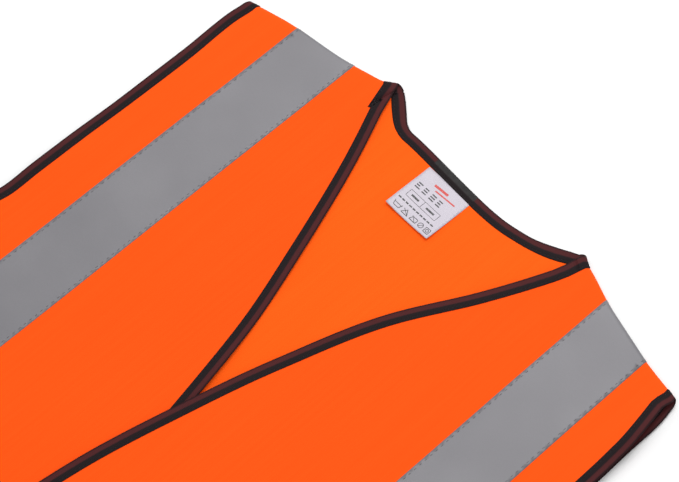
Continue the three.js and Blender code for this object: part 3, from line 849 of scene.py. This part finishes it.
def back_panel():
    """The back, from side seam to side seam and up to the shoulder seams."""
    hem = HEM_Y - NECK_Y + INSET
    neck = inset(neck_curve(), -1)
    outline = []
    right_x = RIGHT.fold_x + side_quarter(RIGHT) - 0.1 * MM
    left_x = LEFT.fold_x + side_quarter(LEFT) - 0.1 * MM
    outline += list(resample([(-right_x, hem), (left_x, hem), (left_x, -UNDERARM - INSET)], STEP))
    halves = {}
    for side in SIDES:
        arm = inset(armhole_curve(side), -1)
        top = -FOLD_DEPTH - SEAM_BACK - 0.1 * MM
        h = (arm[:, 0] - NECK_HALF) * beyond[0] + arm[:, 1] * beyond[1]
        arm = arm[(h < top - 1 * MM) & (arm[:, 0] < side.fold_x + 1 * MM)]
        inner = side.neck + BINDING - 1.0 * MM
        corners = resample([side_point(side.tip - 3 * MM, top), side_point(inner, top),
                            side_point(inner, -FOLD_DEPTH - 4 * MM)], STEP)
        halves[side.name] = mirrored(side, np.vstack([arm, corners]))
    outline += list(halves["left"])
    h_neck = (np.abs(neck[:, 0]) - NECK_HALF) * beyond[0] + neck[:, 1] * beyond[1]
    outline += list(neck[h_neck < -FOLD_DEPTH - 2 * MM])
    outline += list(halves["right"][::-1])
    outline += list(resample([(-right_x, -UNDERARM - INSET), (-right_x, hem)], STEP)[:-1])
    piece = sheet("back_cloth", outline, lift_back, CLOTH / 2, -CLOTH / 2, KNIT, reverse=KNIT_REVERSE)
    place(piece, "orange_knit", "vest_body", ("back_panel",))
    piece["flat_area"] = area_of(outline)
    return piece


# ------------------------------------------------------------------ bindings
NECK_RETURN = -6.8 * MM  # where along the shoulder the neck binding comes off the fold, on the back
NECK_BEND = math.radians(45)  # from a front's edge to the back neck, where the binding folds over


def front_edge_rows(side):
    """Stations of a front's edge binding and of the neck binding's run over the fold, as one strip."""
    turned = fold_length(side, side.neck)
    lead = np.array([side_point(side.neck, h) for h in np.linspace(-FOLD_DEPTH, -FOLD_DEPTH - LEAD, 5)])
    path = np.vstack([lead[:-1], side.rim[side.rim[:, 1] > HEM_Y - NECK_Y + BINDING * 0.4]])
    flat = stations(on_front(side), path, -1)
    over = []
    for share in np.linspace(0, 1, 16)[1:]:
        rounded = 0.8 * MM * math.sin(math.pi * min(share / 0.6, 1))
        t = side.neck + rounded + (NECK_RETURN - side.neck) * smoothstep(share, 0.4, 1.0)
        bend = NECK_BEND * smoothstep(share, 0.5, 1.0)
        out = -along * math.cos(bend) - beyond * math.sin(bend)
        over.append((on_front(side), side_point(t, share * turned - FOLD_DEPTH), out))
    return over[::-1] + flat[: len(lead)], flat[len(lead) - 1:]


def neck_binding():
    """Over the left shoulder, along the back neck and over the right one."""
    curve = neck_curve()
    back = [(lift_back, p, o) for p, o in zip(curve, mitre(curve, -1))]
    rows = front_edge_rows(LEFT)[0][::-1] + back + front_edge_rows(RIGHT)[0]
    piece = swept("neck_edge_binding", rows, BINDING_SECTION, NECK_CLOTH)
    return place(piece, "dark_binding", "vest_body", ("neck_binding",)), rows


def armhole_binding(side):
    below = side.fold_x + side_quarter(side)
    turn = [(x, -UNDERARM) for x in np.linspace(below, side.fold_x, 5)[:-1]]
    front = stations(on_front(side), np.vstack([turn, armhole_curve(side, top_layer=True)]), -1)
    under = stations(lift_back, np.vstack([turn, armhole_curve(side)]), -1)
    length = fold_length(side, side.tip)
    over = [(on_front(side), side_point(t, share * length - FOLD_DEPTH), along)
            for share, t in list(zip(*tip_turn(side)))[1:-1]]
    back = [(lift_back, p * [side.sign, 1], o * [side.sign, 1]) for _, p, o in reversed(under)]
    rows = front + over + back[:-1]
    piece = swept(f"{side.name}_arm_edge_binding", rows, BINDING_SECTION, BINDING_CLOTH, closed=True)
    return place(piece, "dark_binding", "vest_body", (f"{side.name}_armhole_binding",)), rows


def closing_binding(side):
    rows = front_edge_rows(side)[1]
    piece = swept(f"{side.name}_closing_edge_binding", rows, BINDING_SECTION, BINDING_CLOTH)
    return place(piece, "dark_binding", f"{side.name}_front", (f"{side.name}_front_edge_binding",)), rows


SIDE_STATIONS = 5  # of the hem binding, round half of a turned side


def hem_rows():
    """Stations of the whole hem: left front, left side, back, right side, right front."""
    y = HEM_Y - NECK_Y
    down = np.array([0, -1.0])
    rows = {}
    for side in SIDES:
        end = side.fold_x + side_quarter(side)
        start = side.rim[-1][0] + 0.2 * MM
        flat_xs = np.arange(start, side.fold_x, STEP)
        xs = np.concatenate([flat_xs, np.linspace(side.fold_x, end, SIDE_STATIONS)])
        rows[side.name] = [(on_front(side), np.array([x, y]), down) for x in xs]
    left, right = (side.fold_x + side_quarter(side) for side in SIDES)
    xs = np.concatenate([
        np.linspace(left, LEFT.fold_x, SIDE_STATIONS),
        np.arange(LEFT.fold_x - STEP, -RIGHT.fold_x, -STEP),
        np.linspace(-RIGHT.fold_x, -right, SIDE_STATIONS),
    ])
    rows["back"] = [(lift_back, np.array([x, y]), down) for x in xs]
    return rows


def hem_bindings():
    """The hem binding is one tape; it is parted beside each fold line so that the fronts can turn."""
    rows = hem_rows()
    made = []
    split = {}
    for side in SIDES:
        x_split = side.fold_joint + 1 * MM
        flap = [r for r in rows[side.name] if r[1][0] <= x_split + STEP]
        rest = [r for r in rows[side.name] if r[1][0] > x_split + STEP]
        join = (on_front(side), np.array([x_split + STEP, HEM_Y - NECK_Y]), np.array([0, -1.0]))
        flap.append(join)
        split[side.name] = [join] + rest
        piece = swept(f"{side.name}_front_hem_edge_binding", flap, BINDING_SECTION, BINDING_CLOTH)
        opens_with(piece)
        made.append((place(piece, "dark_binding", replaces=(f"{side.name}_flap_hem_binding",)), flap))
    around = split["left"] + rows["back"][1:-1] + split["right"][::-1]
    piece = swept("hem_edge_binding", around, BINDING_SECTION, BINDING_CLOTH)
    made.append((place(piece, "dark_binding", "vest_body", ("hem_binding",)), around))
    return made


# ------------------------------------------------------------------ tapes
TAPE_LOW = CLOTH / 2 + 0.03 * MM
TAPE_HIGH = TAPE_LOW + TAPE_THICK
STITCH_INSET = 2 * MM  # from a tape's long edge to its stitching
UPPER = NECK_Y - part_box("back_upper_band")[1][1]
LOWER = NECK_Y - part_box("back_lower_band")[1][1]


def rectangle(x0, x1, y0, y1, step=STEP):
    return resample([(x0, y0), (x1, y0), (x1, y1), (x0, y1), (x0, y0)], step)[:-1]


def brace_tapes(side):
    """Shoulder tape: the front length runs over the fold to the seam, the back length on from there."""
    x0, x1 = BRACE_IN, BRACE_IN + TAPE

    def y_at(x, h):
        return -(x - NECK_HALF) * math.tan(SLOPE) + h / math.cos(SLOPE)

    t_middle = (x0 + TAPE / 2 - NECK_HALF) / along[0]
    over = fold_length(side, t_middle) + SEAM_BACK - FOLD_DEPTH - 0.4 * MM
    outline = [*resample([(x0, -UPPER), (x1, -UPPER), (x1, y_at(x1, -FOLD_DEPTH))], STEP)[:-1],
               *resample([(x1, y_at(x1, -FOLD_DEPTH)), (x1, y_at(x1, over))], 1.2 * MM),
               *resample([(x1, y_at(x1, over)), (x0, y_at(x0, over))], STEP)[1:-1],
               *resample([(x0, y_at(x0, over)), (x0, y_at(x0, -FOLD_DEPTH))], 1.2 * MM),
               *resample([(x0, y_at(x0, -FOLD_DEPTH)), (x0, -UPPER)], STEP)[1:-1]]
    front = sheet(f"{side.name}_front_shoulder_tape", outline, on_front(side),
                  TAPE_HIGH, TAPE_LOW, REFLECTIVE, close=folded_zone(side))
    place(front, "reflective_tape", "vest_body", (f"{side.name}_front_brace_tape",))
    top = -FOLD_DEPTH - SEAM_BACK - 0.6 * MM
    corners = [(x0, -UPPER), (x1, -UPPER), (x1, y_at(x1, top)), (x0, y_at(x0, top)), (x0, -UPPER)]
    back_outline = resample(corners, STEP)[:-1]
    back = sheet(f"{side.name}_back_shoulder_tape", mirrored(side, back_outline), lift_back,
                 TAPE_HIGH, TAPE_LOW, REFLECTIVE)
    place(back, "reflective_tape", "vest_body", (f"{side.name}_back_brace_tape",))
    rows = []
    for x in (x0 + STITCH_INSET, x1 - STITCH_INSET):
        line = [(x, y) for y in np.arange(-UPPER, y_at(x, -FOLD_DEPTH), 3 * MM)]
        line += [(x, y_at(x, h)) for h in np.arange(-FOLD_DEPTH, over, 0.8 * MM)]
        rows.append(lift_front(side, line, TAPE_HIGH))
        line = [(x * side.sign, y) for y in np.arange(-UPPER, y_at(x, top), 3 * MM)]
        rows.append(lift_back(line, TAPE_HIGH))
    return front, back, rows


def band_tapes():
    """Two horizontal bands on each front and on the back."""
    made, rows = {"left": [], "right": [], "back": []}, {"left": [], "right": [], "back": []}
    for level, depth in (("upper", UPPER), ("lower", LOWER)):
        y0, y1 = -depth - TAPE, -depth
        for side in SIDES:
            edge = side.rim[-1][0] + BINDING - 0.8 * MM
            end = side.fold_x + side_quarter(side) - 0.3 * MM
            outline = rectangle(edge, end, y0, y1, TURN_STEP)
            piece = sheet(f"{side.name}_front_{level}_band", outline, on_front(side),
                          TAPE_HIGH, TAPE_LOW, REFLECTIVE, close=folded_zone(side))
            opens_with(piece)
            place(piece, "reflective_tape",
                  replaces=(f"{side.name}_flap_{level}_band", f"{side.name}_side_{level}_band"))
            made[side.name].append(piece)
            for y in (y0 + STITCH_INSET, y1 - STITCH_INSET):
                line = [(x, y) for x in np.arange(edge, end, 3 * MM)]
                rows[side.name].append(lift_front(side, line, TAPE_HIGH))
        left, right = (side.fold_x + side_quarter(side) - 0.3 * MM for side in SIDES)
        piece = sheet(f"back_{level}_reflective_band", rectangle(-right, left, y0, y1), lift_back,
                      TAPE_HIGH, TAPE_LOW, REFLECTIVE)
        place(piece, "reflective_tape", "vest_body", (f"back_{level}_band",))
        made["back"].append(piece)
        for y in (y0 + STITCH_INSET, y1 - STITCH_INSET):
            rows["back"].append(lift_back([(x, y) for x in np.arange(-right, left, 3 * MM)], TAPE_HIGH))
    return made, rows


# ------------------------------------------------------------------ seams
def side_seam(side):
    """The seam allowance inside a side: two cloth edges lying together, overlocked."""
    top, bottom = -UNDERARM - BINDING, HEM_Y - NECK_Y + BINDING
    ys = np.arange(bottom, top, STEP)
    outer = lift_front(side, [(side.fold_x + side_quarter(side), y) for y in ys], -0.45 * MM)
    across = np.linspace(0, 6.5 * MM, 5)
    thick = 0.45 * MM
    ring = [(u, thick) for u in across] + [(across[-1] + 0.5 * MM, 0)] + [(u, -thick) for u in across[::-1]]
    vertices, uvs = [], []
    for y, p in zip(ys, outer):
        wobble = 0.25 * MM * math.sin(y * 90)
        vertices += [(p[0] - side.sign * u, p[1], p[2] + w + wobble * u / across[-1]) for u, w in ring]
        uvs += [(u, y) for u, _ in ring]
    faces = ring_faces(len(ys), len(ring))
    piece = outward(new_mesh(f"{side.name}_side_seam_allowance", vertices, faces, uvs, [KNIT]))
    inner = np.array([(p[0] - side.sign * (across[-1] + 0.4 * MM), p[1], p[2]) for p in outer])
    return place(piece, "seam_thread", "vest_body", (f"{side.name}_side_seam",)), inner


def shoulder_seam(side):
    """Overlocked seam allowance inside the back, just behind the shoulder fold."""
    ts = np.arange(side.neck + BINDING + 2 * MM, side.tip - BINDING - 2 * MM, STEP)
    centre = -FOLD_DEPTH - SEAM_BACK
    across = [-3.2, -3.4, -3.0, 3.0, 3.4, 3.2]
    height = [0.30, 0.7, 1.1, 1.1, 0.7, 0.30]
    rows = []
    for t in ts:
        p = np.array([side_point(t, centre + u * MM) for u in across])
        rows.append(lift_back(p * [side.sign, 1], -np.array(height) * MM))
    faces = ring_faces(len(ts), len(across))
    uvs = np.array([(u * MM, t) for t in ts for u in across])
    piece = outward(new_mesh(f"{side.name}_shoulder_seam_allowance", np.vstack(rows), faces, uvs, [KNIT]))
    edge = [lift_back(side_point(t, centre + 3.0 * MM) * [side.sign, 1], -1.1 * MM)[0] for t in ts]
    return place(piece, "seam_thread", "vest_body", (f"{side.name}_shoulder_seam",)), np.array(edge)


def zigzag(line, direction, reach, pitch):
    """Points that cross a line to and fro, as overlock thread does."""
    line = resample(line, pitch)
    swing = np.where(np.arange(len(line)) % 2, reach / 2, -reach / 2)
    return line + np.multiply.outer(swing, np.array(direction))


def cord(name, line, radius, thread_material, sides=6):
    """A closed round thread along a line of points."""
    line = np.array(line)
    along_line = np.gradient(line, axis=0)
    along_line /= np.linalg.norm(along_line, axis=1)[:, None]
    up = np.tile([0.0, 0.0, 1.0], (len(line), 1))
    across = np.cross(up, along_line)
    across /= np.linalg.norm(across, axis=1)[:, None]
    up = np.cross(along_line, across)
    angles = np.arange(sides) * 2 * math.pi / sides
    vertices = [c + radius * (math.cos(a) * x + math.sin(a) * u)
                for c, x, u in zip(line, across, up) for a in angles]
    faces = ring_faces(len(line), sides)
    return outward(new_mesh(name, vertices, faces, None, [thread_material]))


# ------------------------------------------------------------------ closure and label
def patch(kind, spot, side, lift_sign):
    """A hook or loop patch: a slab with a ridged, fuzzy face, sewn to the cloth."""
    low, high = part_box(f"{kind}_patch_{spot}")
    x0, x1 = sorted((side.sign * low[0], side.sign * high[0]))
    y0, y1 = low[1] - NECK_Y, high[1] - NECK_Y
    outer, inner = lift_sign * (CLOTH / 2 + 0.75 * MM), lift_sign * (CLOTH / 2 + 0.05 * MM)
    piece = sheet(f"{kind}_fastener_{spot}", rectangle(x0, x1, y0, y1, 2 * MM), on_front(side),
                  outer, inner, HOOKS, 1.6 * MM)
    place(piece, "hook_and_loop", f"{side.name}_front", (f"{kind}_patch_{spot}",))
    row = [(x0 + 1.5 * MM, y0 + 1.5 * MM), (x1 - 1.5 * MM, y0 + 1.5 * MM), (x1 - 1.5 * MM, y1 - 1.5 * MM),
           (x0 + 1.5 * MM, y1 - 1.5 * MM), (x0 + 1.5 * MM, y0 + 1.5 * MM)]
    nub_xs = np.arange(x0 + 3 * MM, x1 - 2.9 * MM, 1.3 * MM)
    nub_ys = np.arange(y0 + 3 * MM, y1 - 2.9 * MM, 1.5 * MM)
    nub_height = outer + lift_sign * 0.12 * MM
    nubs = [lift_front(side, [(x, y) for x in nub_xs], nub_height) for y in nub_ys]
    return piece, lift_front(side, resample(row, 2 * MM), outer), nubs


label_low, label_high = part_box("care_label")


def label_surface(p, off=0.0):
    """The label lies on the back, tucked in at the top, its free corners lifting a little."""
    p = np.atleast_2d(p)
    down = (label_high[1] - p[:, 1]) / (label_high[1] - label_low[1])
    across = (p[:, 0] - label_low[0]) / (label_high[0] - label_low[0]) * 2 - 1
    lie = back_height(p[:, 0], p[:, 1] - NECK_Y) + CLOTH / 2 + 0.18 * MM
    curl = 0.5 * MM * smoothstep(down, 0.05, 0.4) + 1.6 * MM * down**3 * (0.35 + 0.65 * across**2)
    return np.column_stack([p, lie + curl + off])


def care_label():
    outline = rectangle(label_low[0], label_high[0], label_low[1], label_high[1] + 0.6 * MM, 2 * MM)
    piece = sheet("care_label_cloth", outline, label_surface, 0.09 * MM, -0.09 * MM, LABEL, 2 * MM)
    return place(piece, "label_cloth", "care_label", ("care_label",)), area_of(outline)


def printed(name, strokes, ink_material):
    """Ink strokes on the label: each a path and a width, as thin raised ribbons."""
    vertices, faces, uvs = [], [], []
    for path, width, closed in strokes:
        path = np.array(path, float) * MM + [label_low[0], label_high[1]]
        if closed:
            path = np.vstack([path, path[:1]])
        path = resample(path, 0.8 * MM)
        side_way = mitre(path, 1) * width / 2 * MM
        n, base = len(path), len(vertices)
        for edge in (path + side_way, path - side_way):
            vertices += list(label_surface(edge, 0.13 * MM))
        for edge in (path + side_way, path - side_way):
            vertices += list(label_surface(edge, 0.095 * MM))
        uvs += list(np.vstack([path] * 4))
        for i in range(n - 1):
            a, b, c, d = base + i, base + n + i, base + 2 * n + i, base + 3 * n + i
            faces += [(a, b, b + 1, a + 1), (c, c + 1, d + 1, d), (a, a + 1, c + 1, c), (b, d, d + 1, b + 1)]
        a, b, c, d = base, base + n, base + 2 * n, base + 3 * n
        faces += [(a, c, d, b), (a + n - 1, b + n - 1, d + n - 1, c + n - 1)]
    piece = outward(new_mesh(name, vertices, faces, uvs, [ink_material], smooth=False))
    return place(piece, "label_cloth", "care_label")


def circle(x, y, r, n=14):
    return [(x + r * math.cos(a), y + r * math.sin(a)) for a in np.arange(n) * 2 * math.pi / n]


def label_print():
    """Generic print: a plain red flash, blocks and bars where print would be, and five care signs."""
    black = []
    for i in range(4):  # a row of heading blocks
        x = 4.0 + i * 6.6
        black += [([(x, -13.2), (x + 4.2 - 0.8 * (i % 2), -13.2)], 0.95, False),
                  ([(x, -15.2), (x + 3.0 + 0.6 * (i % 3), -15.2)], 0.95, False),
                  ([(x, -17.2), (x + 4.4 - 0.6 * (i % 2), -17.2)], 0.95, False)]
    black += [([(5, -21), (18.5, -21), (18.5, -27), (5, -27)], 0.32, True),
              ([(18.5, -21), (33, -21), (33, -27), (18.5, -27)], 0.32, True),
              ([(8, -24), (15, -24)], 1.5, False), ([(22, -24), (29.5, -24)], 1.5, False)]
    for i in range(10):  # a line of small print
        x = 2.6 + i * 3.4
        black.append(([(x, -30.9), (x + 2.5, -30.9)], 1.1, False))
    y = -36.3
    black += [([(3.4, y + 1.8), (4.6, y - 1.8), (9.2, y - 1.8), (10.4, y + 1.8)], 0.5, False),
              ([(3.8, y + 0.7), (10.0, y + 0.7)], 0.45, False),
              ([(12.2, y - 2.0), (15.0, y + 2.0), (17.8, y - 2.0)], 0.5, True),
              ([(12.2, y + 1.6), (17.8, y - 1.8)], 0.4, False),
              ([(19.8, y - 1.8), (25.6, y - 1.8), (25.6, y + 1.4), (21.2, y + 1.4)], 0.5, True),
              ([(20.2, y + 1.8), (25.2, y - 2.0)], 0.4, False),
              (circle(29.4, y, 2.0), 0.5, True), ([(27.8, y - 1.6), (31.0, y + 1.6)], 0.4, False),
              ([(33.4, y - 2.1), (37.6, y - 2.1), (37.6, y + 2.1), (33.4, y + 2.1)], 0.5, True),
              (circle(35.5, y, 1.2, 10), 0.5, True)]
    red = [([(13, -6.9), (25, -6.1)], 1.9, False), ([(16.5, -9.9), (34, -8.8)], 1.1, False)]
    return [printed("care_label_print", black, BLACK_INK), printed("care_label_flash", red, RED_INK)]


# ------------------------------------------------------------------ making everything
fronts = {side.name: front_panel(side) for side in SIDES}
back = back_panel()
neck, neck_rows = neck_binding()
arms = {side.name: armhole_binding(side) for side in SIDES}
closings = {side.name: closing_binding(side) for side in SIDES}
hems = hem_bindings()
braces = {side.name: brace_tapes(side) for side in SIDES}
bands, band_rows = band_tapes()
side_seams = {side.name: side_seam(side) for side in SIDES}
shoulder_seams = {side.name: shoulder_seam(side) for side in SIDES}

fasteners = {"left": [], "right": []}
fastener_rows = {"left": [], "right": []}
nub_rows = {"left": [], "right": []}
for spot in ("top", "middle", "bottom"):
    for kind, side, facing in (("hook", LEFT, -1), ("loop", RIGHT, 1)):
        made_patch, row, nubs = patch(kind, spot, side, facing)
        fasteners[side.name].append(made_patch)
        fastener_rows[side.name].append(row)
        nub_rows[side.name] += nubs

label, label_area = care_label()
label_marks = label_print()

# Tape stitching: one mesh for what stays with the body, one for each front that opens.
TAPE_STITCH = dict(pitch=4.8 * MM, length=2.6 * MM, thickness=0.34 * MM)
root_rows = [row for side in SIDES for row in braces[side.name][2]] + band_rows["back"]
piece = stitches("tape_stitching", root_rows, TAPE_THREAD, **TAPE_STITCH)
tape_stitches = place(piece, "reflective_tape", "vest_body")
for side in SIDES:
    piece = stitches(f"{side.name}_band_stitching", band_rows[side.name], TAPE_THREAD, **TAPE_STITCH)
    opens_with(piece)
    place(piece, "reflective_tape")


BINDING_STITCH_IN = 6.9 * MM  # from the rim to the stitches, where the binding's section dips
BINDING_STITCH_RISE = 0.62 * MM  # from the middle of the cloth to the stitches


def binding_row(rows, outside, closed=False):
    """The stitch line of a binding, on its outer or inner strip."""
    off = BINDING_STITCH_RISE if outside else -BINDING_STITCH_RISE
    line = [lift(point - BINDING_STITCH_IN * out, off)[0] for lift, point, out in rows]
    return np.array(line + line[:1] if closed else line)


OVERLOCK_RADIUS = 0.22 * MM
BINDING_STITCH = dict(pitch=3.0 * MM, length=2.1 * MM, thickness=0.3 * MM)
body_bindings = [(neck_rows, False)] + [(arms[side.name][1], True) for side in SIDES] + [(hems[2][1], False)]
body_rows = [binding_row(rows, outside, closed)
             for rows, closed in body_bindings for outside in (True, False)]
piece = stitches("binding_stitching", body_rows, BINDING_THREAD, **BINDING_STITCH)
binding_stitches = place(piece, "dark_binding", "vest_body")
for side, (_, hem_row) in zip(SIDES, hems[:2]):
    rows = [binding_row(closings[side.name][1], outside) for outside in (True, False)]
    piece = stitches(f"{side.name}_closing_edge_stitching", rows, BINDING_THREAD, **BINDING_STITCH)
    place(piece, "dark_binding", f"{side.name}_front")
    rows = [binding_row(hem_row, outside) for outside in (True, False)]
    piece = stitches(f"{side.name}_front_hem_stitching", rows, BINDING_THREAD, **BINDING_STITCH)
    opens_with(piece)
    place(piece, "dark_binding")
    piece = stitches(f"{side.name}_fastener_stitching", fastener_rows[side.name], ORANGE_THREAD,
                     2.4 * MM, 1.8 * MM, 0.35 * MM)
    place(piece, "hook_and_loop", f"{side.name}_front")
    pile, size = ("hook_nubs", 0.55 * MM) if side is LEFT else ("loop_pile", 0.8 * MM)
    piece = stitches(f"{side.name}_{pile}", nub_rows[side.name], HOOKS_FACE, 1.4 * MM, size, 0.5 * MM)
    place(piece, "hook_and_loop", f"{side.name}_front")
    seam_line = zigzag(side_seams[side.name][1], (1, 0, 0), 3.0 * MM, 2.2 * MM)
    piece = cord(f"{side.name}_side_overlock", seam_line, OVERLOCK_RADIUS, ORANGE_THREAD)
    place(piece, "seam_thread", "vest_body")
    seam_line = zigzag(shoulder_seams[side.name][1], (0, 1, 0), 4.0 * MM, 2.2 * MM)
    piece = cord(f"{side.name}_shoulder_overlock", seam_line, OVERLOCK_RADIUS, ORANGE_THREAD)
    place(piece, "seam_thread", "vest_body")

# ------------------------------------------------------------------ the cloths' flat areas, taken off again
for side, hem in zip(SIDES, hems[:2]):
    cloth = fronts[side.name]
    cloth.pop("flat_area")
back.pop("flat_area")

# ------------------------------------------------------------------ stage
FLOOR_HALF = 4.0
FLOOR_Z = -0.0002
floor_corners = [(x * FLOOR_HALF, y * FLOOR_HALF, FLOOR_Z) for x, y in ((-1, -1), (1, -1), (1, 1), (-1, 1))]
floor = new_mesh("floor", floor_corners, [(0, 1, 2, 3)], None, [studio_floor()], smooth=False)


def area_light(name, location, target, size, watts):
    data = bpy.data.lights.new(name, "AREA")
    data.shape, data.size, data.energy = "DISK", size, watts
    lamp = bpy.data.objects.new(name, data)
    lamp.location = location
    lamp.rotation_euler = (Vector(target) - Vector(location)).to_track_quat("-Z", "Y").to_euler()
    scene.collection.objects.link(lamp)


middle = (0.0, 0.1, 0.0)
area_light("softbox_above", (-0.3, 1.0, 1.35), middle, 1.3, 16.5)
area_light("softbox_left", (-1.9, -0.6, 1.5), middle, 1.4, 5)
area_light("softbox_right", (1.8, 0.4, 1.6), middle, 1.4, 4)

world = bpy.data.worlds.new("studio")
world.use_nodes = True
world.node_tree.nodes["Background"].inputs[0].default_value = (1, 1, 1, 1)
world.node_tree.nodes["Background"].inputs[1].default_value = 0.6
scene.world = world

camera_data = bpy.data.cameras.new("camera")
camera_data.lens, camera_data.sensor_width = 148.9, 36
camera_data.clip_start = 0.05
camera = bpy.data.objects.new("camera", camera_data)
eye, aim = Vector((0.6249, NECK_Y - 0.7198, 1.6700)), Vector((-0.0295, NECK_Y - 0.1104, 0.0055))
camera.location = eye
camera.rotation_euler = (aim - eye).to_track_quat("-Z", "Y").to_euler()
scene.collection.objects.link(camera)
scene.camera = camera
